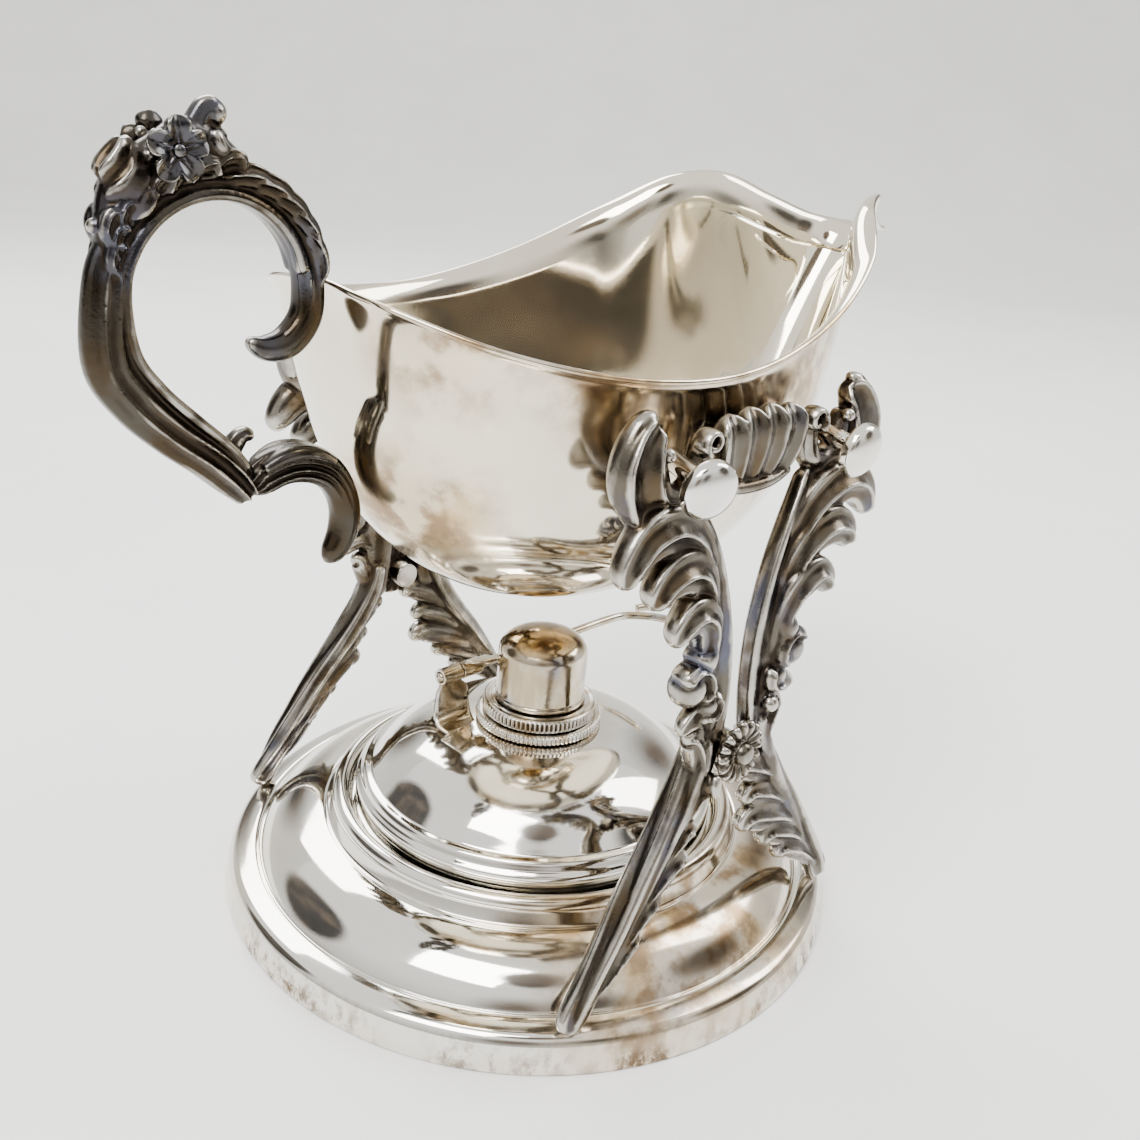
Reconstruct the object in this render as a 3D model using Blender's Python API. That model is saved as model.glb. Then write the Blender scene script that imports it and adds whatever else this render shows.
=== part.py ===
"""A silver sauce boat on its warming stand, with a spirit burner under it.

The spout points along +X, the handle along -X, and the near side is -Y, called right. Drawn sizes are in
millimetres on the stand's own axis. They become metres, on the assembly's origin, as each piece is placed.
"""

import math

import bmesh
import bpy
from mathutils import Matrix, Vector

MM = 0.001
GAP = 0.3

# Driving dimensions, in millimetres.
BASE_RADIUS = 77.5
SHEET = 1.2
WELL_FLOOR = 20.0
BEAD_RADIUS = 2.15
BEAD_CENTRE = (49.1, 22.2)
COVE_RADIUS = 18.2
COVE_CENTRE = (53.4, 0.6)

FRAME_TILT = 5.0 / 122.0
FRAME_FOOT_Y = 60.0
FRAME_FOOT_Z = 8.0
FRAME_THICKNESS = 6.0
CRADLE_Y = 55.0
NOTCH_RADIUS = 3.4
NOTCH_FLOOR = 125.0
BRIDGE_FACES = (52.4, 56.8)
WAIST_Z = 62.0
WAIST_FLOWER_RADIUS = 7.5

FONT_RADIUS = 45.6
NECK_BORE = 10.5
COLLAR_RADIUS = 14.4
WICK_RADIUS = 4.3
CAP_RADIUS = 11.1
CAP_WALL = 0.8
CAP_FOOT = 49.3
CAP_SHOULDER = 61.5
SWING_Y = 13.5
SWING_Z = 54.5
ROD_RADIUS = 1.1
KNUCKLE_RADIUS = 2.1

BOWL_CENTRE_X = 2.0
BOWL_BOTTOM = 80.0
FLANGE_RISE = 1.5
FLANGE_WIDTHS = {"spout": 5.0, "side": 2.5, "back": 1.2}
# How the wall fills out as it rises, in each direction, and the rounded plan that it has low down.
WALL_SHAPES = {"spout": (3.3, 2.7), "side": (3.4, 1.55), "back": (3.0, 1.95)}
PLAN_REACH = {"spout": 84.0, "side": 48.0, "back": 63.4}
PLAN_POWERS = {"spout": 1.75, "back": 2.0}
PINCH_START = 0.1
PINCH_POWER = 2.6
RIM = [
    (116.0, 0.0, 163.2), (104.0, 9.5, 165.5), (92.0, 16.0, 169.8), (80.0, 24.5, 174.3),
    (67.0, 31.5, 172.2), (52.0, 43.2, 162.0), (28.0, 50.8, 150.8), (-2.0, 53.8, 144.0),
    (-30.0, 50.3, 144.6), (-52.0, 37.5, 149.0), (-63.5, 20.0, 154.0), (-65.5, 10.0, 155.5),
    (-64.5, 0.0, 156.0),
]

STUD_HEAD = (24.6, 64.0, 126.5)
STUD_HEAD_RADIUS = 6.0
STUD_SHAFT_RADIUS = 2.2
STUD_REAR = {"toe": 13.0, "droop": 11.5, "inner": 50.6}
STUD_FRONT = {"toe": 1.0, "droop": 10.0, "inner": 50.0}

RING_CENTRE = (-86.9, 154.4)
RING_RADIUS = 18.9
# How far the ring's outer edge stands off its middle line, by the angle round the ring: the leafy crest.
CREST = [
    (-20.0, 2.9), (30.0, 3.4), (60.0, 4.6), (80.0, 5.4), (88.0, 9.0), (93.0, 14.4), (98.0, 13.4),
    (103.0, 10.6), (112.0, 9.9), (117.0, 8.0), (123.0, 9.8), (133.0, 8.4), (141.0, 5.8), (153.0, 6.0),
    (165.0, 4.4), (190.0, 4.2),
]

# The middle of the whole length, so that the assembly's origin is under the middle of its box.
ORIGIN_X = 2.75

SILVER = {"colour": (0.86, 0.84, 0.80, 1.0), "roughness": 0.16, "metallic": 1.0}
OXIDISED = {"colour": (0.55, 0.52, 0.48, 1.0), "roughness": 0.32, "metallic": 1.0}
TINTED = {"colour": (0.80, 0.70, 0.52, 1.0), "roughness": 0.22, "metallic": 1.0}
KNURLED = {"colour": (0.88, 0.86, 0.82, 1.0), "roughness": 0.25, "metallic": 1.0}
COTTON = {"colour": (0.86, 0.82, 0.72, 1.0), "roughness": 0.9, "metallic": 0.0}


def clear_scene():
    """Remove whatever the open file holds."""
    for item in list(bpy.data.objects):
        bpy.data.objects.remove(item, do_unlink=True)


def material(name, look):
    """A Principled material with one colour, roughness and metallic value."""
    made = bpy.data.materials.get(name) or bpy.data.materials.new(name)
    made.use_nodes = True
    shader = made.node_tree.nodes["Principled BSDF"]
    shader.inputs["Base Color"].default_value = look["colour"]
    shader.inputs["Roughness"].default_value = look["roughness"]
    shader.inputs["Metallic"].default_value = look["metallic"]
    return made


def frame_empty(name, place, parent=None):
    """An empty at a place in the drawing, which carries one moving body."""
    empty = bpy.data.objects.new(name, None)
    bpy.context.collection.objects.link(empty)
    empty["place"] = place
    if parent is None:
        empty.location = Vector((place[0] - ORIGIN_X, place[1], place[2])) * MM
    else:
        empty.parent = parent
        empty.location = (Vector(place) - Vector(parent["place"])) * MM
    return empty


def add_piece(name, points, faces, parent, look, origin=None, sharp=35.0):
    """One closed solid, drawn in the stand's millimetres, with its origin at its parent's place."""
    origin = Vector(origin if origin is not None else parent["place"])
    mesh = bpy.data.meshes.new(name)
    mesh.from_pydata([(Vector(p) - origin) * MM for p in points], [], faces)
    work = bmesh.new()
    work.from_mesh(mesh)
    bmesh.ops.recalc_face_normals(work, faces=work.faces)
    work.to_mesh(mesh)
    work.free()
    mesh.shade_smooth()
    mesh.set_sharp_from_angle(angle=math.radians(sharp))
    piece = bpy.data.objects.new(name, mesh)
    bpy.context.collection.objects.link(piece)
    piece.parent = parent
    piece.location = (origin - Vector(parent["place"])) * MM
    mesh.materials.append(material(name, look))
    return piece


def arc(centre, radius, start, end, steps):
    """Points of a circular arc, with its angles in degrees."""
    turns = [math.radians(start + (end - start) * i / steps) for i in range(steps + 1)]
    return [(centre[0] + radius * math.cos(a), centre[1] + radius * math.sin(a)) for a in turns]


def catmull(points, steps):
    """A centripetal Catmull-Rom curve through the points, with this many steps between each two."""
    points = [Vector(p) for p in points]
    ends = [2 * points[0] - points[1]] + points + [2 * points[-1] - points[-2]]
    return catmull_between(ends, steps)


def catmull_between(ends, steps):
    """The curve through all the points but the first and the last, which only steer it."""
    knots = [0.0]
    for a, b in zip(ends, ends[1:]):
        knots.append(knots[-1] + math.sqrt((b - a).length))
    curve = []
    for i in range(1, len(ends) - 2):
        t0, t1, t2, t3 = knots[i - 1:i + 3]
        p0, p1, p2, p3 = ends[i - 1:i + 3]
        for step in range(steps):
            t = t1 + (t2 - t1) * step / steps
            a1 = p0.lerp(p1, (t - t0) / (t1 - t0))
            a2 = p1.lerp(p2, (t - t1) / (t2 - t1))
            a3 = p2.lerp(p3, (t - t2) / (t3 - t2))
            b1 = a1.lerp(a2, (t - t0) / (t2 - t0))
            b2 = a2.lerp(a3, (t - t1) / (t3 - t1))
            curve.append(b1.lerp(b2, (t - t1) / (t2 - t1)))
    curve.append(ends[-2].copy())
    return curve


def revolve(profile, segments, matrix=None):
    """Turn a closed profile of (radius, height) about Z. A point at radius 0 becomes one pole."""
    points = []
    rings = []
    for radius, height in profile:
        if radius == 0.0:
            rings.append([len(points)] * segments)
            points.append(Vector((0.0, 0.0, height)))
            continue
        rings.append(list(range(len(points), len(points) + segments)))
        for i in range(segments):
            turn = 2 * math.pi * i / segments
            points.append(Vector((radius * math.cos(turn), radius * math.sin(turn), height)))
    faces = []
    for k, ring in enumerate(rings):
        following = rings[(k + 1) % len(rings)]
        for i in range(segments):
            j = (i + 1) % segments
            corners = [ring[i], ring[j], following[j], following[i]]
            unique = list(dict.fromkeys(corners))
            if len(unique) > 2:
                faces.append(unique)
    if matrix is not None:
        points = [matrix @ p for p in points]
    return points, faces


def loft(rings):
    """Join rings of equal count in order and close both ends."""
    count = len(rings[0])
    points = [Vector(p) for ring in rings for p in ring]
    faces = []
    for k in range(len(rings) - 1):
        for i in range(count):
            j = (i + 1) % count
            faces.append([k * count + i, k * count + j, (k + 1) * count + j, (k + 1) * count + i])
    faces.append(list(range(count))[::-1])
    faces.append([(len(rings) - 1) * count + i for i in range(count)])
    return points, faces


def tube(path, radius, sides):
    """A round rod along a smooth path of points."""
    rings = []
    side = None
    for k, point in enumerate(path):
        ahead = path[min(k + 1, len(path) - 1)] - path[max(k - 1, 0)]
        ahead.normalize()
        if side is None:
            side = ahead.orthogonal().normalized()
        side = (side - ahead * side.dot(ahead)).normalized()
        across = ahead.cross(side)
        turns = [2 * math.pi * i / sides for i in range(sides)]
        rings.append([point + radius * (side * math.cos(a) + across * math.sin(a)) for a in turns])
    return loft(rings)


def plate(outline, near, far, hole=()):
    """A closed plate. near and far carry each flat outline point to the plate's two faces."""
    flat = bmesh.new()
    loops = [loop for loop in (outline, hole) if loop]
    edges = []
    for loop in loops:
        corners = [flat.verts.new((u, v, 0.0)) for u, v in loop]
        edges += [flat.edges.new((corners[i - 1], corners[i])) for i in range(len(corners))]
    flat.verts.index_update()
    bmesh.ops.triangle_fill(flat, use_beauty=True, use_dissolve=False, edges=edges)
    triangles = [[corner.index for corner in face.verts] for face in flat.faces]
    flat.free()
    drawn = [point for loop in loops for point in loop]
    count = len(drawn)
    points = [Vector(near(i, *p)) for i, p in enumerate(drawn)]
    points += [Vector(far(i, *p)) for i, p in enumerate(drawn)]
    faces = [t[::-1] for t in triangles]
    faces += [[count + i for i in t] for t in triangles]
    first = 0
    for loop in loops:
        for i in range(len(loop)):
            a = first + i
            b = first + (i + 1) % len(loop)
            faces.append([a, b, b + count, a + count])
        first += len(loop)
    return points, faces


def frame_y(height):
    """Distance of a side frame's middle plane from the centre plane, which leans in as it rises."""
    return FRAME_FOOT_Y - FRAME_TILT * (height - FRAME_FOOT_Z)


def base_dish(parent):
    """The spun foot: a rolled rim, a groove, a cove, a bead and a flat well, hollow underneath."""
    outer = [(BASE_RADIUS, 0.0), (BASE_RADIUS, SHEET), (76.6, 6.6), (76.0, 7.9), (75.0, 8.6)]
    outer += [(70.2, 9.7), (69.2, 9.3)]
    outer += arc(COVE_CENTRE, COVE_RADIUS, 33.0, 90.0, 6)
    outer += [(52.6, 18.4), (51.7, 20.0)]
    outer += arc(BEAD_CENTRE, BEAD_RADIUS, 0.0, 180.0, 6)
    outer += [(46.9, WELL_FLOOR), (0.0, WELL_FLOOR)]
    inner = [(0.0, WELL_FLOOR - SHEET), (51.0, WELL_FLOOR - SHEET - 1.2)]
    inner += arc(COVE_CENTRE, COVE_RADIUS - SHEET, 90.0, 36.0, 4)
    inner += [(68.6, 8.2), (74.4, 7.2), (75.3, 6.2), (76.2, SHEET), (73.5, SHEET), (73.5, 0.0)]
    add_piece("base_dish", *revolve(outer + inner, 40), parent, SILVER)


def leg_outline(notch_x):
    """One leg's face, for +X: foot, outer edge with its volute and leaves, cradle, inner edge."""
    outline = [(41.5, 9.95), (47.6, 9.2), (47.0, 12.6), (40.9, 20.8), (35.1, 29.8), (29.1, 38.9)]
    outline += [(22.1, 47.8), (16.9, 56.1), (14.5, 61.4), (13.6, 66.0), (16.0, 70.0), (11.8, 73.0)]
    outline += arc((17.0, 81.5), 4.7, -140.0, 155.0, 8)
    outline += [(11.4, 87.0), (12.6, 94.0), (14.6, 98.6), (20.0, 100.0), (18.2, 102.4)]
    outline += [(25.0, 104.0), (22.6, 106.4), (28.6, 108.6), (27.2, 111.2), (37.0, 114.0)]
    outline += [(33.6, 117.2), (36.2, 123.0), (36.9, 130.0)]
    outline += arc((32.6, 132.8), 4.4, 0.0, 190.0, 6)
    centre = (notch_x, NOTCH_FLOOR + NOTCH_RADIUS)
    outline += arc(centre, NOTCH_RADIUS, 0.0, -180.0, 6)
    outline += [(notch_x - NOTCH_RADIUS - 1.1, 133.0), (16.6, 134.2), (15.2, 132.6)]
    outline += [(15.0, 121.0), (14.6, 119.3), (10.3, 111.0), (6.7, 101.1), (4.5, 90.6)]
    outline += [(3.7, 80.2), (3.5, 73.5), (4.3, 66.5), (4.3, 58.8), (1.2, 56.0), (6.9, 53.4)]
    outline += [(7.5, 49.0), (10.6, 46.4), (4.6, 42.0), (13.2, 39.0), (15.6, 34.0), (19.8, 31.4)]
    outline += [(21.0, 26.0), (26.6, 23.0), (32.0, 18.0), (35.6, 15.6)]
    return outline


def stand_leg(name, front, side, parent):
    """One cast leg with the open cradle that carries a stud."""
    end = 1.0 if front else -1.0
    stud = STUD_FRONT if front else STUD_REAR
    notch_x = STUD_HEAD[0] - (STUD_HEAD[1] - CRADLE_Y) * math.tan(math.radians(stud["toe"]))
    half = FRAME_THICKNESS / 2

    def face(offset):
        return lambda i, x, z: (end * x, side * (frame_y(z) + offset), z)

    add_piece(name, *plate(leg_outline(notch_x), face(-half), face(half)), parent, OXIDISED)


def shell_bridge(name, side, parent):
    """The ribbed shell that joins two cradles: a fan of scallops over a scalloped lower edge."""
    top = [(14.6, 132.2), (12.6, 134.6), (10.0, 134.0), (7.6, 136.2), (4.6, 135.2), (0.0, 137.0)]
    bottom = [(3.6, 122.4), (7.2, 120.6), (11.0, 122.0), (14.6, 121.2)]
    right = [(0.0, 120.4)] + bottom + top
    outline = right + [(-x, z) for x, z in reversed(right[1:-1])]

    def face(distance):
        return lambda i, x, z: (x, side * distance, z)

    add_piece(name, *plate(outline, face(BRIDGE_FACES[0]), face(BRIDGE_FACES[1])), parent, OXIDISED)


def waist_flower(name, side, parent):
    """The ribbed flower over the waist of a side frame, with the boss that ties its two legs."""
    middle = frame_y(WAIST_Z)
    face = FRAME_THICKNESS / 2 + GAP
    radius = WAIST_FLOWER_RADIUS
    profile = [(0.0, -2.5), (3.6, -2.5), (3.6, face), (radius - 0.6, face), (radius, face + 0.6)]
    profile += [(radius - 0.8, face + 1.9), (3.4, face + 2.4), (2.6, face + 3.4), (0.0, face + 4.0)]
    turn = Matrix.Rotation(-side * math.pi / 2, 4, "X")
    place = Matrix.Translation((0.0, side * middle, WAIST_Z)) @ turn
    add_piece(name, *revolve(profile, 20, place), parent, OXIDISED)


def font_dome(parent):
    """The burner's domed reservoir, open at its neck and at its foot."""
    outer = [(NECK_BORE, 42.6), (16.0, 42.4), (20.0, 42.0), (25.0, 40.8), (30.0, 38.9)]
    outer += [(34.5, 36.4), (38.0, 33.6), (41.2, 29.8), (43.2, 29.0), (43.6, 28.2), (45.2, 26.6)]
    outer += [(FONT_RADIUS, 25.2), (FONT_RADIUS, WELL_FLOOR + GAP)]
    inner = [(FONT_RADIUS - 1.1, WELL_FLOOR + GAP), (FONT_RADIUS - 1.1, 25.0), (43.6, 26.2)]
    inner += [(40.2, 29.0), (37.0, 32.6), (33.6, 35.4), (29.2, 37.8), (24.6, 39.6), (19.6, 40.8)]
    inner += [(NECK_BORE, 41.4)]
    add_piece("font_dome", *revolve(outer + inner, 32), parent, SILVER)


def font_pan(parent):
    """The reservoir's floor, a shallow pan set just inside the dome's skirt."""
    radius = FONT_RADIUS - 1.1 - GAP
    floor = WELL_FLOOR + GAP
    profile = [(0.0, floor), (radius, floor), (radius, floor + 4.2), (radius - 1.0, floor + 4.2)]
    profile += [(radius - 1.0, floor + 1.3), (0.0, floor + 1.3)]
    add_piece("font_pan", *revolve(profile, 36), parent, SILVER)


def neck_flange(parent):
    """The beaded ring round the neck, which the knurled collar screws down on."""
    profile = [(NECK_BORE, 42.9), (15.2, 42.9)]
    profile += arc((15.0, 44.0), 1.1, -75.0, 75.0, 3)
    profile += [(NECK_BORE, 45.1)]
    add_piece("neck_flange", *revolve(profile, 32), parent, SILVER)


def knurled_collar(parent):
    """The collar that holds the wick tube: a stem in the neck under a knurled head."""
    profile = [(6.1, 38.0), (10.1, 38.0), (10.1, 45.4), (13.8, 45.4), (COLLAR_RADIUS, 45.9)]
    profile += [(COLLAR_RADIUS, 48.2), (13.8, 48.7), (6.1, 48.7)]
    add_piece("knurled_collar", *revolve(profile, 36), parent, KNURLED)


def wick_tube(parent):
    """The tube that guides the wick up through the collar."""
    outer = 5.8
    inner = WICK_RADIUS + GAP
    profile = [(inner, 36.0), (outer, 36.0), (outer, 56.0), (inner, 56.0)]
    add_piece("wick_tube", *revolve(profile, 24), parent, SILVER)


def wick(parent):
    """The round cotton wick, from the reservoir to just over the tube."""
    profile = [(0.0, 25.0), (WICK_RADIUS, 25.0), (WICK_RADIUS, 57.0), (3.4, 58.2), (0.0, 58.4)]
    add_piece("wick", *revolve(profile, 16), parent, COTTON)


def snuffer_cap(parent):
    """The extinguisher: a thin round cap, open below, with a low domed top."""
    crown = 6.0
    outer = [(CAP_RADIUS + 0.4, CAP_FOOT), (CAP_RADIUS + 0.4, CAP_FOOT + 0.9)]
    outer += [(CAP_RADIUS, CAP_FOOT + 1.3), (CAP_RADIUS, CAP_SHOULDER)]
    turns = [math.radians(18 * i) for i in range(1, 5)]
    outer += [(CAP_RADIUS * math.cos(a), CAP_SHOULDER + crown * math.sin(a)) for a in turns]
    outer += [(0.0, CAP_SHOULDER + crown)]
    inside = CAP_RADIUS - CAP_WALL
    inner = [(0.0, CAP_SHOULDER + crown - CAP_WALL)]
    inner += [(inside * math.cos(a), CAP_SHOULDER + (crown - CAP_WALL) * math.sin(a)) for a in turns[::-1]]
    inner += [(inside, CAP_SHOULDER), (inside, CAP_FOOT)]
    add_piece("snuffer_cap", *revolve(outer + inner, 32), parent, TINTED)


def knuckle_hole():
    """The bore of a hinge knuckle, in the plane across the rod."""
    return arc((SWING_Y, SWING_Z), ROD_RADIUS + GAP, 0.0, 324.0, 9)


def snuffer_strap(parent):
    """The arched strap from its knuckle on the rod to the side of the cap."""
    over = [(11.6, 56.9), (10.4, 57.7), (9.0, 57.9), (7.8, 57.4)]
    under = [(7.8, 56.4), (9.0, 56.9), (10.4, 56.6), (11.6, 55.6)]
    around = arc((SWING_Y, SWING_Z), KNUCKLE_RADIUS, -215.0, 120.0, 14)
    outline = around + over + under
    reach = [0.0] * len(around) + [0.25, 0.5, 0.75, 1.0, 1.0, 0.75, 0.5, 0.25]
    wall = CAP_RADIUS + GAP

    def edge(start_x, polar):
        meet = (wall * math.cos(math.radians(polar)), wall * math.sin(math.radians(polar)))

        def place(i, y, z):
            part = reach[i] if i < len(reach) else 0.0
            if part == 0.0:
                return (start_x, y, z)
            return (start_x + (meet[0] - start_x) * part, 12.2 + (meet[1] - 12.2) * part, z)

        return place

    drawn = plate(outline, edge(-15.2, 146.0), edge(-9.2, 122.0), knuckle_hole())
    add_piece("snuffer_strap", *drawn, parent, TINTED)


def snuffer_bracket(parent):
    """The fixed knuckle and the web that carries it on the dome's shoulder."""
    around = arc((SWING_Y, SWING_Z), KNUCKLE_RADIUS, -60.0, 240.0, 12)
    web = [(12.4, 46.6), (8.6, 43.6), (8.6, 42.7), (14.6, 42.5), (14.8, 46.6)]
    xs = (-21.6, -15.5)
    drawn = plate(around + web, lambda i, y, z: (xs[0], y, z), lambda i, y, z: (xs[1], y, z), knuckle_hole())
    add_piece("snuffer_bracket", *drawn, parent, SILVER)


def snuffer_rod(parent):
    """The turning rod: straight through both knuckles, then bent round into a finger loop."""
    straight = [(-21.9, SWING_Y, SWING_Z), (40.0, SWING_Y, SWING_Z)]
    loop = [(44.5, 12.4, SWING_Z), (49.5, 8.2, SWING_Z), (53.6, 2.2, SWING_Z), (57.6, -0.6, SWING_Z)]
    loop += [(61.6, 1.0, SWING_Z), (63.2, 5.6, SWING_Z), (60.6, 10.2, SWING_Z), (55.6, 12.8, SWING_Z)]
    loop += [(50.6, 14.4, SWING_Z)]
    path = [Vector(straight[0])] + catmull([straight[1]] + loop, 3)
    add_piece("snuffer_rod", *tube(path, ROD_RADIUS, 10), parent, TINTED)


def rim_curve(steps):
    """The rim's outer edge, once round, smooth where it crosses the centre plane."""
    half = [Vector(p) for p in RIM]
    mirror = Vector((1.0, -1.0, 1.0))
    ends = [half[1] * mirror] + half + [half[-2] * mirror]
    near = catmull_between(ends, steps)
    return near + [p * mirror for p in near[-2:0:-1]]


def blend_weights(turn):
    """How much a direction round the bowl counts as spout, side and back."""
    spout = max(math.cos(turn), 0.0) ** 2
    back = max(-math.cos(turn), 0.0) ** 2
    return {"spout": spout, "side": 1.0 - spout - back, "back": back}


def wall_fraction(height, weights):
    """The bowl's radius at a height from 0, its bottom, to 1, its rim, as a part of the rim's."""
    total = 0.0
    for place, weight in weights.items():
        steep, full = WALL_SHAPES[place]
        total += weight * (1.0 - (1.0 - height) ** steep) ** (1.0 / full)
    return total


def plan_reach(turn):
    """The bowl's reach in a direction, in the rounded plan that its lower wall has."""
    end = "spout" if math.cos(turn) > 0 else "back"
    power = PLAN_POWERS[end]
    along = (abs(math.cos(turn)) / PLAN_REACH[end]) ** power
    across = (abs(math.sin(turn)) / PLAN_REACH["side"]) ** power
    return (along + across) ** (-1.0 / power)


def bowl_section(edge, heights):
    """One radial section of the bowl's sheet, from its outer bottom over the rim to its inner one."""
    out = Vector((edge.x - BOWL_CENTRE_X, edge.y))
    reach = out.length
    out.normalize()
    turn = math.atan2(out.y, out.x)
    weights = blend_weights(turn)
    flange = sum(FLANGE_WIDTHS[place] * weight for place, weight in weights.items())
    top = edge.z - FLANGE_RISE

    def at(radius, height):
        return Vector((BOWL_CENTRE_X + out.x * radius, out.y * radius, height))

    def wall(h):
        pinch = max(h - PINCH_START, 0.0) / (1.0 - PINCH_START)
        mixed = plan_reach(turn) + (reach - flange - plan_reach(turn)) * pinch ** PINCH_POWER
        return mixed * wall_fraction(h, weights)

    section = [at(wall(h), BOWL_BOTTOM + (top - BOWL_BOTTOM) * h) for h in heights]
    section += [at(reach, edge.z - SHEET), at(reach, edge.z)]
    floor = BOWL_BOTTOM + SHEET
    inner_top = top + SHEET / 2
    inset = 1.0 - SHEET / (reach - flange)
    section += [at(wall(h) * inset, floor + (inner_top - floor) * h) for h in reversed(heights)]
    return section


def bowl(parent):
    """The boat itself: one raised sheet with a rounded bottom, a flanged rim and an open spout."""
    heights = [math.sin(math.pi / 2 * i / 8) ** 1.6 for i in range(1, 9)]
    sections = [bowl_section(edge, heights) for edge in rim_curve(2)]
    count = len(sections[0])
    points = [p for section in sections for p in section]
    faces = []
    for k in range(len(sections)):
        j = (k + 1) % len(sections)
        for i in range(count - 1):
            faces.append([k * count + i, j * count + i, j * count + i + 1, k * count + i + 1])
    for end, height in ((0, BOWL_BOTTOM), (count - 1, BOWL_BOTTOM + SHEET)):
        pole = len(points)
        points.append(Vector((BOWL_CENTRE_X, 0.0, height)))
        for k in range(len(sections)):
            j = (k + 1) % len(sections)
            faces.append([k * count + end, j * count + end, pole])
    add_piece("bowl", points, faces, parent, SILVER)


def stud(name, end, side, shape, parent):
    """A domed stud: the round end that meets the bowl, its shaft, and a flat-backed head."""
    toe = math.tan(math.radians(shape["toe"]))
    droop = math.tan(math.radians(shape["droop"]))
    outward = Vector((end * toe, side, -droop))
    length = (STUD_HEAD[1] - shape["inner"]) * outward.length
    outward.normalize()
    head = Vector((end * STUD_HEAD[0], side * STUD_HEAD[1], STUD_HEAD[2]))
    shaft = STUD_SHAFT_RADIUS
    radius = STUD_HEAD_RADIUS
    profile = [(0.0, -length)]
    profile += [(shaft * math.sin(a), -length + shaft * (1.0 - math.cos(a))) for a in (0.6, 1.1, math.pi / 2)]
    profile += [(shaft, -2.6), (shaft + 1.0, -1.4), (radius - 0.5, -1.4), (radius, -0.8)]
    turns = [math.radians(22.5 * i) for i in range(0, 4)]
    profile += [(radius * math.cos(a), 3.2 * math.sin(a)) for a in turns]
    profile += [(0.0, 3.2)]
    place = Matrix.Translation(head) @ outward.to_track_quat("Z", "Y").to_matrix().to_4x4()
    add_piece(name, *revolve(profile, 20, place), parent, OXIDISED)


def ribbon(path, outer, inner, thickness, sides=10):
    """A cast scroll in the centre plane. outer and inner are its reach to each side of its path."""
    rings = []
    for k, point in enumerate(path):
        ahead = path[min(k + 1, len(path) - 1)] - path[max(k - 1, 0)]
        ahead.normalize()
        left = Vector((-ahead.z, 0.0, ahead.x))
        middle = point + left * (inner[k] - outer[k]) / 2
        half = (inner[k] + outer[k]) / 2
        turns = [2 * math.pi * i / sides for i in range(sides)]
        across = Vector((0.0, 1.0, 0.0))
        rings.append([middle + left * half * math.cos(a) + across * thickness[k] * math.sin(a) for a in turns])
    return loft(rings)


def ease(value, keys):
    """A value read between (place, height) keys, in straight steps."""
    for (a, low), (b, high) in zip(keys, keys[1:]):
        if value <= b:
            return low + (high - low) * (value - a) / (b - a)
    return keys[-1][1]


def handle(parent):
    """The handle: a curled tail, a finger ring with a leafy crest, and an arm down to its heel."""
    tail = [(-80.6, 146.1, 1.0), (-76.8, 144.3, 2.4), (-72.6, 145.0, 2.9)]
    arm = [(-106.2, 143.9, 4.4), (-102.4, 137.6, 4.6), (-96.4, 131.6, 4.6), (-89.3, 126.0, 4.8)]
    arm += [(-84.6, 121.0, 4.4), (-81.6, 117.4, 2.8)]
    path = [Vector((x, 0.0, z)) for x, z, _ in tail]
    outer = [half for _, _, half in tail]
    inner = [half for _, _, half in tail]
    steps = 25
    for i in range(steps + 1):
        turn = -18.0 + 204.0 * i / steps
        x, z = arc(RING_CENTRE, RING_RADIUS, turn, turn, 1)[0]
        path.append(Vector((x, 0.0, z)))
        outer.append(ease(turn, CREST))
        inner.append(2.9)
    path += [Vector((x, 0.0, z)) for x, z, _ in arm]
    outer += [half for _, _, half in arm]
    inner += [half for _, _, half in arm]
    last = len(path) - 1
    thick = [(0.0, 1.0), (0.06, 2.4), (0.1, 3.0), (0.75, 3.3), (0.95, 4.4), (1.0, 3.0)]
    depth = [ease(k / last, thick) for k in range(last + 1)]
    add_piece("handle", *ribbon(path, outer, inner, depth), parent, OXIDISED)


def handle_flower(name, side, parent):
    """The five-petalled flower that stands on one face of the crest."""
    centre = Vector((-94.9, side * 3.6, 178.6))
    petals = 5
    steps = petals * 4
    rim = []
    for i in range(steps):
        turn = 2 * math.pi * i / steps
        reach = 4.4 + 0.8 * math.cos(petals * turn)
        rim.append((centre.x + reach * math.cos(turn), centre.z + reach * math.sin(turn)))

    def face(offset):
        return lambda i, x, z: (x, centre.y + side * offset, z)

    add_piece(name, *plate(rim, face(0.0), face(2.2)), parent, OXIDISED)


def handle_scroll(parent):
    """The leafy S-scroll under the heel, which carries the handle's foot on the back of the bowl."""
    drawn = [(-78.2, 120.6, 4.2, 2.6), (-73.2, 121.6, 3.6, 4.0), (-68.0, 121.0, 3.6, 4.0)]
    drawn += [(-63.4, 118.4, 3.3, 3.8), (-60.4, 114.4, 2.9, 3.4), (-59.2, 109.6, 2.8, 3.2)]
    drawn += [(-60.2, 104.8, 2.6, 2.8), (-63.0, 101.0, 1.9, 2.0), (-65.2, 99.0, 1.0, 1.2)]
    path = [Vector((x, 0.0, z)) for x, z, _, _ in drawn]
    half = [width for _, _, width, _ in drawn]
    depth = [thick for _, _, _, thick in drawn]
    add_piece("handle_scroll", *ribbon(path, half, half, depth), parent, OXIDISED)


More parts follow.
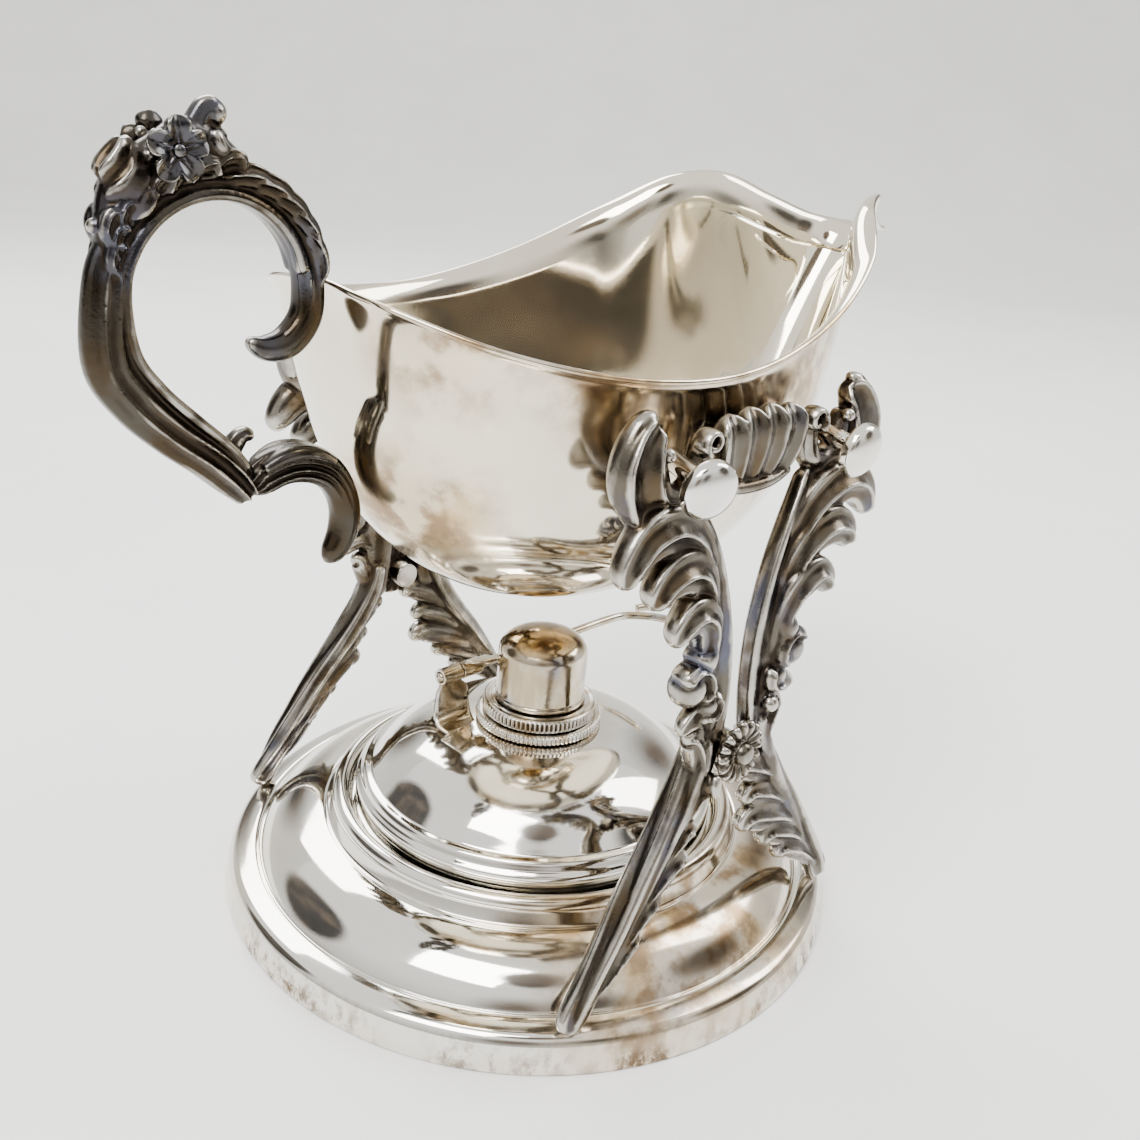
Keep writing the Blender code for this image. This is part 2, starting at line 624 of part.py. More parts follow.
def main():
    clear_scene()
    pivot_z = STUD_HEAD[2] + (STUD_HEAD[1] - CRADLE_Y) * math.tan(math.radians(STUD_FRONT["droop"]))
    pivot_x = STUD_HEAD[0] - (STUD_HEAD[1] - CRADLE_Y) * math.tan(math.radians(STUD_FRONT["toe"]))
    stand = frame_empty("stand", (0.0, 0.0, 0.0))
    burner = frame_empty("burner", (0.0, 0.0, WELL_FLOOR), stand)
    wick_holder = frame_empty("wick_holder", (0.0, 0.0, 45.4), burner)
    snuffer = frame_empty("snuffer", (0.0, SWING_Y, SWING_Z), burner)
    front_pins = frame_empty("front_pins", (pivot_x, 0.0, pivot_z), stand)
    boat = frame_empty("boat", (pivot_x, 0.0, pivot_z), front_pins)

    base_dish(stand)
    for side, hand in ((-1.0, "right"), (1.0, "left")):
        stand_leg(f"leg_front_{hand}", True, side, stand)
        stand_leg(f"leg_rear_{hand}", False, side, stand)
        shell_bridge(f"shell_bridge_{hand}", side, stand)
        waist_flower(f"waist_flower_{hand}", side, stand)
        stud(f"stud_front_{hand}", 1.0, side, STUD_FRONT, front_pins)
        stud(f"stud_rear_{hand}", -1.0, side, STUD_REAR, boat)
        handle_flower(f"handle_flower_{hand}", side, boat)
    font_dome(burner)
    font_pan(burner)
    neck_flange(burner)
    snuffer_bracket(burner)
    knurled_collar(wick_holder)
    wick_tube(wick_holder)
    wick(wick_holder)
    snuffer_cap(snuffer)
    snuffer_strap(snuffer)
    snuffer_rod(snuffer)
    bowl(boat)
    handle(boat)
    handle_scroll(boat)


main()
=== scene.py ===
"""The looks of a silver sauce boat on its warming stand, with a spirit burner under it.

Sizes are millimetres, drawn about the stand's upright axis: X to the spout, -Y to the near side, Z up. The
function build_mesh() turns them into metres in the row frame. A cast piece is drawn as overlapping leaves,
which are fused into one skin, and how hollow that skin is at each point then drives its dark oxide.
"""

import math

import bmesh
import bpy
import numpy as np
from mathutils import Matrix, Vector


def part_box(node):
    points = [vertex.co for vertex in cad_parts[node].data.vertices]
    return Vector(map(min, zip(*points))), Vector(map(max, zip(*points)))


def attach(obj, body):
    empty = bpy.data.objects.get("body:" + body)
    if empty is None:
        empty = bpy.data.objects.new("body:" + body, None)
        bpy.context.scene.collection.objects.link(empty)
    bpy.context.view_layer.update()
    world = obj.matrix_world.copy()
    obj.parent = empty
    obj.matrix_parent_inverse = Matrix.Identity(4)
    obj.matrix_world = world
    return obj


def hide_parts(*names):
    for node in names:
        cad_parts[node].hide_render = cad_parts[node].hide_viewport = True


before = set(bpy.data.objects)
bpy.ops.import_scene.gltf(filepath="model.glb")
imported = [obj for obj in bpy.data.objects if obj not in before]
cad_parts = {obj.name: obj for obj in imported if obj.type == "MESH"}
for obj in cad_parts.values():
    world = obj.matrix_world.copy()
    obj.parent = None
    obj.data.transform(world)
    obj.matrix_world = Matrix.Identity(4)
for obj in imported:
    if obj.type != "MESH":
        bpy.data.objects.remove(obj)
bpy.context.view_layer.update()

MM = 1000.0
SIDES = {"right": -1.0, "left": 1.0}
ENDS = {"front": 1.0, "rear": -1.0}
SEGMENTS = 256
VOXEL = 0.34
SKIN_PASSES = 2


def node_box(name):
    """A CAD node's lowest and highest corner, in millimetres about the stand's axis."""
    low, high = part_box(name)
    return (low * MM - AXIS), (high * MM - AXIS)


base_low, base_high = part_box("base_dish")
AXIS = Vector(((base_low.x + base_high.x) / 2 * MM, 0.0, 0.0))
BASE_RADIUS = (base_high.x - base_low.x) / 2 * MM


# -------- curves and closed forms

def smooth_line(keys, steps):
    """A centripetal curve through rows of keys, whose first three values are a place."""
    keys = np.array(keys, float)
    rows = np.vstack([2 * keys[0] - keys[1], keys, 2 * keys[-1] - keys[-2]])
    return smooth_between(rows, steps)


def smooth_between(rows, steps):
    """The curve through all rows but the first and the last, which only steer it."""
    gaps = np.linalg.norm(np.diff(rows[:, :3], axis=0), axis=1)
    knots = np.concatenate([[0.0], np.cumsum(np.sqrt(gaps))])
    line = []
    for i in range(1, len(rows) - 2):
        t0, t1, t2, t3 = knots[i - 1:i + 3]
        p0, p1, p2, p3 = rows[i - 1:i + 3]
        for t in np.linspace(t1, t2, steps, endpoint=False):
            a1 = p0 + (p1 - p0) * (t - t0) / (t1 - t0)
            a2 = p1 + (p2 - p1) * (t - t1) / (t2 - t1)
            a3 = p2 + (p3 - p2) * (t - t2) / (t3 - t2)
            b1 = a1 + (a2 - a1) * (t - t0) / (t2 - t0)
            b2 = a2 + (a3 - a2) * (t - t1) / (t3 - t1)
            line.append(b1 + (b2 - b1) * (t - t1) / (t2 - t1))
    line.append(rows[-2])
    return np.array(line)


def flat_line(rows, steps):
    """The curve through rows whose first two values are a place in a plane."""
    return np.delete(smooth_line(np.insert(np.array(rows, float), 1, 0.0, axis=1), steps), 1, axis=1)


def arc(centre, radius, start, end, steps):
    """Points of a circular arc, with its angles in degrees."""
    turns = np.radians(np.linspace(start, end, steps + 1))
    return [(centre[0] + radius * math.cos(a), centre[1] + radius * math.sin(a)) for a in turns]


def fillet(corners, radius, steps=4):
    """Round every corner of an outline, by up to this radius. A corner on the axis stays."""
    made = []
    count = len(corners)
    for i, corner in enumerate(corners):
        here = Vector(corner)
        before = Vector(corners[i - 1])
        after = Vector(corners[(i + 1) % count])
        if here.x == 0.0:
            made.append(tuple(here))
            continue
        back = min(radius, (before - here).length * 0.45)
        ahead = min(radius, (after - here).length * 0.45)
        start = here + (before - here).normalized() * back
        end = here + (after - here).normalized() * ahead
        for k in range(steps + 1):
            t = k / steps
            made.append(tuple(start.lerp(here, t).lerp(here.lerp(end, t), t)))
    return made


def revolve(profile, segments=0, ripple=None, place=None):
    """Turn a closed (radius, height) profile about Z. ripple(radius, height, turns) moves each ring."""
    segments = segments or SEGMENTS
    turns = np.linspace(0, 2 * math.pi, segments, endpoint=False)
    points = []
    rings = []
    for radius, height in profile:
        first = len(points)
        if radius == 0.0:
            rings.append([first] * segments)
            points.append((0.0, 0.0, height))
            continue
        radii = np.full(segments, radius)
        heights = np.full(segments, height)
        if ripple:
            radii, heights = ripple(radii, heights, turns)
        points += list(zip(radii * np.cos(turns), radii * np.sin(turns), heights))
        rings.append(list(range(first, first + segments)))
    faces = []
    for k, ring in enumerate(rings):
        following = rings[(k + 1) % len(rings)]
        for i in range(segments):
            j = (i + 1) % segments
            corners = list(dict.fromkeys([ring[i], ring[j], following[j], following[i]]))
            if len(corners) > 2:
                faces.append(corners)
    points = np.array(points)
    if place is not None:
        points = points @ np.array(place.to_3x3()).T + np.array(place.translation)
    return points, faces


def loft(rings):
    """Join rings of equal count in order and close both ends."""
    count = len(rings[0])
    faces = []
    for k in range(len(rings) - 1):
        for i in range(count):
            j = (i + 1) % count
            faces.append([k * count + i, k * count + j, (k + 1) * count + j, (k + 1) * count + i])
    faces.append(list(range(count))[::-1])
    faces.append([(len(rings) - 1) * count + i for i in range(count)])
    return np.concatenate(rings), faces


def strand(keys, flutes=0, groove=0.0, cup=0.0, both=False, sides=32, steps=7, tips=(1.0, 1.0)):
    """A closed cast leaf. Each key is (along, out, up, half width, half depth, twist in degrees, relief).

    flutes are hollow channels along its face, groove deep. cup hollows the whole face between its edges.
    relief, 1 unless it is given, fades the channels in and out along the leaf.
    """
    line = smooth_line([tuple(key) + (0.0, 1.0)[len(key) - 5:] for key in keys], steps)
    centre = line[:, :3]
    ahead = np.gradient(centre, axis=0)
    ahead /= np.linalg.norm(ahead, axis=1)[:, None]
    out = np.array([0.0, 1.0, 0.0])
    front = out - ahead * (ahead @ out)[:, None]
    front /= np.linalg.norm(front, axis=1)[:, None]
    across = np.cross(ahead, front)
    twist = np.radians(line[:, 5])[:, None]
    wide = across * np.cos(twist) + front * np.sin(twist)
    deep = front * np.cos(twist) - across * np.sin(twist)
    run = np.concatenate([[0.0], np.cumsum(np.linalg.norm(np.diff(centre, axis=0), axis=1))])
    swell = np.ones(len(line))
    for tip, from_end in ((tips[0], run), (tips[1], run[-1] - run)):
        if tip:
            rounding = tip * max(line[0, 3], 0.8)
            near = np.clip(from_end / rounding, 0.0, 1.0)
            swell = np.minimum(swell, np.sqrt(np.clip(1 - (1 - near) ** 2, 0.01, 1.0)))
    turns = np.linspace(0, 2 * math.pi, sides, endpoint=False)
    u = np.cos(turns)
    v = np.sin(turns)
    relief = line[:, 6][:, None]
    ridges = 1 - relief * groove * np.abs(np.sin(math.pi * flutes * (u + 1) / 2))[None, :]
    hollow = 1 - relief * cup * (1 - u ** 2)[None, :]
    front_height = np.abs(v) ** (0.8 - 0.4 * cup) * ridges * hollow
    back_height = -np.abs(v) ** 0.8 * (ridges if both else 1.0)
    height = np.where(v > 0, front_height, back_height)
    width = (line[:, 3] * swell)[:, None, None]
    depth = (line[:, 4] * swell)[:, None, None]
    rings = centre[:, None, :] + wide[:, None, :] * width * u[None, :, None]
    rings = rings + deep[:, None, :] * depth * height[:, :, None]
    return loft(list(rings))


def ball(centre, radii):
    """A closed ellipsoid."""
    profile = [(math.sin(a), -math.cos(a)) for a in np.radians(np.linspace(0, 180, 13))]
    profile[0] = (0.0, -1.0)
    profile[-1] = (0.0, 1.0)
    points, faces = revolve(profile, 24)
    return points * np.array(radii) + np.array(centre), faces


def scroll(centre, start_radius, end_radius, start, sweep, reach, out, sheet):
    """A rolled leaf: a sheet wound in a spiral, its edges standing out like a barrel's ends."""
    keys = []
    count = max(5, int(abs(sweep) / 40))
    for k in range(count + 1):
        t = k / count
        turn = math.radians(start + sweep * t)
        radius = start_radius + (end_radius - start_radius) * t
        place = (centre[0] + radius * math.cos(turn), out, centre[1] + radius * math.sin(turn))
        keys.append(place + (reach * (1.0 - 0.35 * t), sheet, 90.0))
    return strand(keys, steps=5, sides=20, tips=(0.0, 0.5))


def along_by(keys, distance):
    """Keys moved along."""
    return [(key[0] + distance,) + key[1:] for key in keys]


def carried(parts, move):
    """Parts drawn in one plane, put in their place by move(along, out, up)."""
    return [(np.stack(move(*points.T), axis=1), faces) for points, faces in parts]


def merged(parts):
    """Closed forms side by side, as one list of points and one of faces."""
    points = []
    faces = []
    for part_points, part_faces in parts:
        first = len(points)
        points += part_points.tolist()
        faces += [[first + i for i in face] for face in part_faces]
    return points, faces


# -------- meshes and pieces

def neighbour_mean(values, edges):
    """The mean of each point's neighbours."""
    count = len(values)
    degree = np.bincount(edges.ravel(), minlength=count)
    mean = np.empty_like(values)
    for axis in range(values.shape[1]):
        total = np.bincount(edges[:, 0], values[edges[:, 1], axis], count)
        total += np.bincount(edges[:, 1], values[edges[:, 0], axis], count)
        mean[:, axis] = total / np.maximum(degree, 1)
    return mean


def build_mesh(name, points, faces):
    """A smooth-shaded mesh in the row frame, from millimetres about the stand's axis."""
    mesh = bpy.data.meshes.new(name)
    placed = (np.array(points) + np.array(AXIS)) / MM
    mesh.from_pydata(placed.tolist(), [], faces)
    face_outward(mesh)
    mesh.shade_smooth()
    return mesh


def face_outward(mesh):
    """Make all faces look outward."""
    work = bmesh.new()
    work.from_mesh(mesh)
    bmesh.ops.recalc_face_normals(work, faces=work.faces)
    work.to_mesh(mesh)
    work.free()


def read_mesh(mesh):
    """A mesh's points and edges as arrays."""
    points = np.empty(len(mesh.vertices) * 3)
    mesh.vertices.foreach_get("co", points)
    edges = np.empty(len(mesh.edges) * 2, int)
    mesh.edges.foreach_get("vertices", edges)
    return points.reshape(-1, 3), edges.reshape(-1, 2)


def mark_hollows(mesh, spread=16, depth=0.35):
    """Store on each point how far it lies below its smoothed surroundings: 0.5 flat, 1 in a hollow."""
    points, edges = read_mesh(mesh)
    normals = np.empty(len(points) * 3)
    mesh.vertices.foreach_get("normal", normals)
    normals = normals.reshape(-1, 3)
    smooth = points.copy()
    for _ in range(spread):
        smooth = neighbour_mean(smooth, edges)
    below = ((smooth - points) * normals).sum(axis=1) * MM / depth
    hollow = np.clip(0.5 + 0.5 * below, 0.0, 1.0)
    for _ in range(2):
        hollow = neighbour_mean(hollow[:, None], edges)[:, 0]
    mesh.attributes.new("hollow", "FLOAT", "POINT").data.foreach_set("value", hollow)


def fused(name, parts, fineness=1.0):
    """One skin round overlapping closed forms, lightly smoothed, with its hollows marked.

    fineness is the size of this casting's voxels beside that of the legs.
    """
    raw = bpy.data.meshes.new(name + "_raw")
    points, faces = merged(parts)
    raw.from_pydata(points, [], faces)
    holder = bpy.data.objects.new(name + "_raw", raw)
    bpy.context.collection.objects.link(holder)
    skin = holder.modifiers.new("Skin", "REMESH")
    skin.mode = "VOXEL"
    skin.voxel_size = VOXEL * fineness
    graph = bpy.context.evaluated_depsgraph_get()
    made = bpy.data.meshes.new_from_object(holder.evaluated_get(graph))
    bpy.data.objects.remove(holder, do_unlink=True)
    bpy.data.meshes.remove(raw)
    points, edges = read_mesh(made)
    for _ in range(SKIN_PASSES):
        points = points + 0.5 * (neighbour_mean(points, edges) - points)
    corners = [list(face.vertices) for face in made.polygons]
    bpy.data.meshes.remove(made)
    mesh = build_mesh(name, points, corners)
    mark_hollows(mesh)
    return mesh


def piece(name, mesh, body, nodes, look):
    """Put a mesh in the scene as a piece of one body, in place of its CAD nodes."""
    made = bpy.data.objects.new(name, mesh)
    bpy.context.collection.objects.link(made)
    mesh.materials.clear()
    mesh.materials.append(look)
    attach(made, body)
    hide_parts(*nodes)


# -------- materials

class Shade:
    """A Principled material under construction, with short calls for the nodes it uses."""

    def __init__(self, name):
        self.material = bpy.data.materials.new(name)
        self.material.use_nodes = True
        self.tree = self.material.node_tree
        self.shader = self.tree.nodes["Principled BSDF"]
        coordinates = self.node("TexCoord")
        self.place = coordinates.outputs["Object"]
        self.normal = coordinates.outputs["Normal"]

    def node(self, kind, inputs=(), **settings):
        """A new node with these settings. inputs are pairs of an input's name or number and what feeds it."""
        made = self.tree.nodes.new("ShaderNode" + kind)
        for key, value in settings.items():
            setattr(made, key, value)
        for key, source in inputs:
            self.join(source, made.inputs[key])
        return made

    def join(self, source, target):
        """Feed a socket from another socket or from a plain value."""
        if isinstance(source, bpy.types.NodeSocket):
            self.tree.links.new(source, target)
        else:
            target.default_value = source

    def hollow(self):
        """The mark that mark_hollows() stored: 0.5 flat, 1 in a hollow."""
        return self.node("Attribute", attribute_name="hollow").outputs["Fac"]

    def noise(self, scale, low, high, detail=4.0, stretch=(1.0, 1.0, 1.0), rough=0.55):
        """A cloudy mask, 0 below low and 1 above high. scale is in blotches per metre."""
        mapping = self.node("Mapping", [("Scale", stretch), ("Vector", self.place)])
        cloud = self.node("TexNoise", [("Scale", scale), ("Detail", detail), ("Roughness", rough),
                                       ("Vector", mapping.outputs["Vector"])])
        return self.ramp(cloud.outputs["Fac"], low, high)

    def ramp(self, value, low, high, to_low=0.0, to_high=1.0):
        """A value carried smoothly from one range to another."""
        ends = [("From Min", low), ("From Max", high), ("To Min", to_low), ("To Max", to_high)]
        return self.node("MapRange", ends + [("Value", value)], interpolation_type="SMOOTHSTEP").outputs["Result"]

    def math(self, kind, a, b):
        """One arithmetic step on two values."""
        return self.node("Math", [(0, a), (1, b)], operation=kind).outputs["Value"]

    def times(self, a, b):
        """Two values multiplied."""
        return self.math("MULTIPLY", a, b)

    def plus(self, a, b):
        """Two values added."""
        return self.math("ADD", a, b)

    def near(self, centre, inner, outer):
        """1 within the inner distance of a place in millimetres, 0 beyond the outer one."""
        centre = (Vector(centre) + AXIS) / MM
        away = self.node("VectorMath", [(0, self.place), (1, centre)], operation="DISTANCE")
        return self.ramp(away.outputs["Value"], inner / MM, outer / MM, 1.0, 0.0)

    def height(self, low, high, to_low=0.0, to_high=1.0):
        """A mask that changes over a range of heights in millimetres."""
        split = self.node("SeparateXYZ", [("Vector", self.place)])
        return self.ramp(split.outputs["Z"], low / MM, high / MM, to_low, to_high)

    def outside(self):
        """1 on faces that look away from the stand's axis, 0 on those that look in."""
        flat = self.node("VectorMath", [(0, self.place), (1, (1.0, 1.0, 0.0))], operation="MULTIPLY")
        away = self.node("VectorMath", [(0, flat.outputs["Vector"]), (1, self.normal)], operation="DOT_PRODUCT")
        return self.ramp(away.outputs["Value"], -0.002, 0.004)

    def mix(self, factor, a, b):
        """Two colours mixed by a mask."""
        return self.node("Mix", [(0, factor), (6, a), (7, b)], data_type="RGBA").outputs[2]

    def bump(self, height, distance, strength=1.0):
        """Fine relief, this many millimetres deep."""
        made = self.node("Bump", [("Distance", distance / MM), ("Strength", strength), ("Height", height)])
        self.join(made.outputs["Normal"], self.shader.inputs["Normal"])

    def finish(self, colour, roughness, metallic=1.0):
        """Connect the shader and hand over the material."""
        for name, source in (("Base Color", colour), ("Roughness", roughness), ("Metallic", metallic)):
            self.join(source, self.shader.inputs[name])
        return self.material


def rgb(red, green, blue):
    """An opaque colour."""
    return (red, green, blue, 1.0)


def scaled(colour, factor):
    """A colour made darker or lighter."""
    return rgb(*(part * factor for part in colour[:3]))


WARM = rgb(0.80, 0.72, 0.58)
GOLDEN = rgb(0.58, 0.42, 0.22)
UMBER = rgb(0.30, 0.20, 0.11)
BROWN = rgb(0.16, 0.10, 0.055)
WORN = rgb(0.84, 0.79, 0.70)
STEEL = rgb(0.118, 0.104, 0.084)
BRONZED = rgb(0.085, 0.062, 0.038)
BLUED = rgb(0.085, 0.105, 0.175)
OXIDE = rgb(0.028, 0.021, 0.015)
GRIME = rgb(0.10, 0.07, 0.04)
BOWL_SILVER = rgb(0.87, 0.805, 0.66)
BASE_SILVER = rgb(0.82, 0.80, 0.75)
BURNER_SILVER = rgb(0.82, 0.80, 0.76)
STUD_SILVER = rgb(0.80, 0.78, 0.74)


def polished(name, stains, skirt, warmth, silver):
    """Mirror silver with warm clouds of tarnish.

    stains are (place, inner, outer) of browner patches. skirt is None or the heights over which brown specks thin
    out. warmth, from 0 to 1, is the strength of the clouds.
    """
    made = Shade(name)
    cloud = made.noise(22.0, 0.38, 0.66, rough=0.6)
    colour = made.mix(made.times(cloud, warmth), silver, WARM)
    blotch = made.math("MAXIMUM", made.noise(75.0, 0.34, 0.58, detail=6.0), 0.35)
    rough = made.noise(60.0, 0.3, 0.8, detail=6.0)
    roughness = made.plus(made.times(rough, 0.07), 0.045)
    facing = made.outside()
    stain_colour = made.mix(made.noise(150.0, 0.4, 0.62), GOLDEN, UMBER)
    for place, inner, outer in stains:
        mask = made.times(made.near(place, inner, outer), blotch)
        mask = made.times(mask, facing)
        colour = made.mix(mask, colour, stain_colour)
        roughness = made.plus(roughness, made.times(mask, 0.12))
    if skirt:
        low, high = skirt
        speck = made.noise(300.0, 0.44, 0.60, detail=9.0, stretch=(1.0, 1.0, 0.7), rough=0.7)
        patch = made.noise(34.0, 0.34, 0.56)
        band = made.height(low, high, 1.0, 0.0)
        mask = made.times(made.times(speck, patch), band)
        colour = made.mix(made.times(band, 0.35), colour, WARM)
        colour = made.mix(mask, colour, BROWN)
        roughness = made.plus(roughness, made.times(mask, 0.3))
    dust = made.noise(900.0, 0.3, 0.7, detail=2.0)
    made.bump(made.plus(made.noise(35.0, 0.0, 1.0, detail=1.0), made.times(dust, 0.02)), 0.05)
    return made.finish(colour, roughness)


def oxidised(name, dark, blue):
    """Cast silver: bright where it stands proud, and dark brown or blue-black in its hollows.

    dark, from 0 to 1, is how far the oxide spreads. blue is how much of the flat metal is blued.
    """
    made = Shade(name)
    drift = made.noise(120.0, 0.25, 0.75, detail=5.0)
    shifted = made.plus(made.hollow(), made.times(made.math("SUBTRACT", drift, 0.5), 0.16))
    steel = scaled(STEEL, 1.30 - dark)
    middle = made.mix(made.noise(70.0, 0.42, 0.62), steel, scaled(BRONZED, 1.35 - dark))
    middle = made.mix(made.times(made.noise(45.0, 0.50, 0.68), blue), middle, BLUED)
    edge = made.ramp(shifted, 0.14, 0.28 + 0.20 * (1.1 - dark), 1.0, 0.0)
    deep = made.ramp(shifted, 0.55 - 0.08 * dark, 0.80 - 0.16 * dark, 0.0, 0.95)
    colour = made.mix(edge, middle, scaled(WORN, 0.74 - 0.36 * dark))
    colour = made.mix(deep, colour, OXIDE)
    roughness = made.plus(made.times(deep, 0.22), made.times(drift, 0.10))
    roughness = made.plus(roughness, 0.15)
    made.bump(made.noise(1400.0, 0.3, 0.7, detail=3.0), 0.02, 0.6)
    return made.finish(colour, roughness)


def heated(name, top):
    """Silver coloured gold and blue by the flame, most of all on its crown."""
    made = Shade(name)
    streak = made.noise(160.0, 0.40, 0.62, detail=5.0, stretch=(1.0, 1.0, 0.25))
    crown = made.height(top - 4.5, top - 1.5)
    colour = made.mix(made.noise(110.0, 0.36, 0.56), rgb(0.72, 0.68, 0.60), rgb(0.55, 0.47, 0.34))
    colour = made.mix(made.times(streak, 0.6), colour, rgb(0.30, 0.22, 0.13))
    blue = made.times(made.noise(85.0, 0.56, 0.66), 0.6)
    colour = made.mix(blue, colour, rgb(0.20, 0.23, 0.32))
    tint = made.mix(made.noise(200.0, 0.4, 0.6), rgb(0.36, 0.22, 0.07), rgb(0.16, 0.095, 0.035))
    colour = made.mix(made.times(crown, 0.9), colour, tint)
    roughness = made.plus(made.times(streak, 0.12), 0.09)
    made.bump(made.noise(700.0, 0.3, 0.7), 0.02, 0.5)
    return made.finish(colour, roughness)


def satin(name):
    """Pale silver with worn, slightly dirty teeth."""
    made = Shade(name)
    colour = made.mix(made.noise(240.0, 0.45, 0.65), rgb(0.72, 0.69, 0.63), rgb(0.50, 0.42, 0.31))
    colour = made.mix(made.ramp(made.hollow(), 0.50, 0.72), colour, GRIME)
    roughness = made.plus(made.times(made.noise(500.0, 0.3, 0.7), 0.12), 0.16)
    made.bump(made.noise(1200.0, 0.3, 0.7), 0.02, 0.4)
    return made.finish(colour, roughness)


def cotton(name):
    """Off-white wick, scorched toward its top."""
    made = Shade(name)
    colour = made.mix(made.noise(900.0, 0.3, 0.7), rgb(0.80, 0.75, 0.64), rgb(0.62, 0.56, 0.45))
    colour = made.mix(made.height(55.5, 58.0, 0.0, 0.9), colour, rgb(0.05, 0.045, 0.04))
    made.bump(made.noise(1500.0, 0.3, 0.7), 0.15)
    return made.finish(colour, 0.9, 0.0)


# -------- the bowl

# The rim's edge from the spout to the back, on the near half: along, out and up.
RIM = [
    (115.6, 0.0, 163.8), (114.8, 4.2, 164.2), (111.2, 7.8, 164.6), (104.0, 10.8, 165.7), (92.0, 16.4, 169.8),
    (80.0, 24.5, 174.3), (67.0, 31.5, 172.2), (52.0, 43.2, 162.0), (28.0, 50.8, 150.8), (-2.0, 53.8, 144.0),
    (-30.0, 50.3, 144.6), (-52.0, 37.5, 149.0), (-63.5, 20.0, 154.0), (-65.5, 10.0, 155.5), (-64.5, 0.0, 156.0),
]
BOWL_CENTRE_X = 2.0
BOWL_BOTTOM = node_box("bowl")[0].z
SHEET = 1.2
FLANGE_RISE = 1.5
# The flange's width, how the wall fills out as it rises, and its rounded plan low down, by direction.
FLANGE_WIDTHS = {"spout": 5.0, "side": 2.5, "back": 1.2}
WALL_SHAPES = {"spout": (3.3, 2.7), "side": (3.4, 1.55), "back": (3.0, 1.95)}
PLAN_REACH = {"spout": 84.0, "side": 48.0, "back": 63.4}
PLAN_POWERS = {"spout": 1.75, "back": 2.0}
PINCH_START = 0.1
PINCH_POWER = 2.6
# The part of the height that the plain wall takes, under the flare of the rim.
WALL_PART = 0.9
# How the levels crowd toward the wall's bottom, and how many steps turn its top out to the rim.
LEVEL_POWER = 1.7
FLARE_STEPS = 16
KNEE_PART = 0.8
# How far the spout's lip curls: outward, down at its edge, and up and in before it turns over. The curl dies
# away quickly on both sides of the spout.
CURL_POWER = 6
LIP_OUT = 0.6
LIP_DOWN = 2.6
LIP_RISE = 3.8
LIP_IN = 1.2


def rim_line(steps):
    """The rim's outer edge, once round, smooth where it crosses the centre plane."""
    half = np.array(RIM)
    mirror = np.array([1.0, -1.0, 1.0])
    near = smooth_between(np.vstack([half[1] * mirror, half, half[-2] * mirror]), steps)
    return np.vstack([near, near[-2:0:-1] * mirror])


def wall_fraction(height, weights):
    """The wall's radius at a height from 0, its bottom, to 1, its rim, as a part of the rim's."""
    total = 0.0
    for place, weight in weights.items():
        steep, full = WALL_SHAPES[place]
        total += weight * (1.0 - (1.0 - height) ** steep) ** (1.0 / full)
    return total


def plan_reach(turn):
    """The reach in a direction of the rounded plan that the lower wall has."""
    end = "spout" if math.cos(turn) > 0 else "back"
    power = PLAN_POWERS[end]
    along = (abs(math.cos(turn)) / PLAN_REACH[end]) ** power
    across = (abs(math.sin(turn)) / PLAN_REACH["side"]) ** power
    return (along + across) ** (-1.0 / power)


def bowl_middle(edge, heights):
    """The middle of the sheet in one radial section, as (reach, height), from the bottom to the rim."""
    reach = math.hypot(edge[0] - BOWL_CENTRE_X, edge[1])
    turn = math.atan2(edge[1], edge[0] - BOWL_CENTRE_X)
    spout = max(math.cos(turn), 0.0) ** 2
    back = max(-math.cos(turn), 0.0) ** 2
    weights = {"spout": spout, "side": 1.0 - spout - back, "back": back}
    flange = sum(FLANGE_WIDTHS[place] * weight for place, weight in weights.items())
    low = BOWL_BOTTOM + SHEET / 2
    top = edge[2] - FLANGE_RISE
    pinch = np.maximum(heights - PINCH_START, 0.0) / (1.0 - PINCH_START)
    mixed = plan_reach(turn) + (reach - flange - plan_reach(turn)) * pinch ** PINCH_POWER
    radii = mixed * wall_fraction(heights, weights) - SHEET / 2
    wall = np.stack([radii, low + (top - low) * heights], axis=1)
    t = np.linspace(0.0, 1.0, FLARE_STEPS + 1)[1:, None]
    curl = spout ** CURL_POWER
    lip = np.array([reach - SHEET / 2 + LIP_OUT * curl, edge[2] - SHEET / 2 - LIP_DOWN * curl])
    slope = (wall[-1] - wall[-2]) / (wall[-1, 1] - wall[-2, 1])
    knee = wall[-1] + slope * (lip[1] - wall[-1, 1]) * KNEE_PART + np.array([-LIP_IN, LIP_RISE]) * curl
    turned = (1 - t) ** 2 * wall[-1] + 2 * t * (1 - t) * knee + t ** 2 * lip
    return np.vstack([wall, turned]), turn


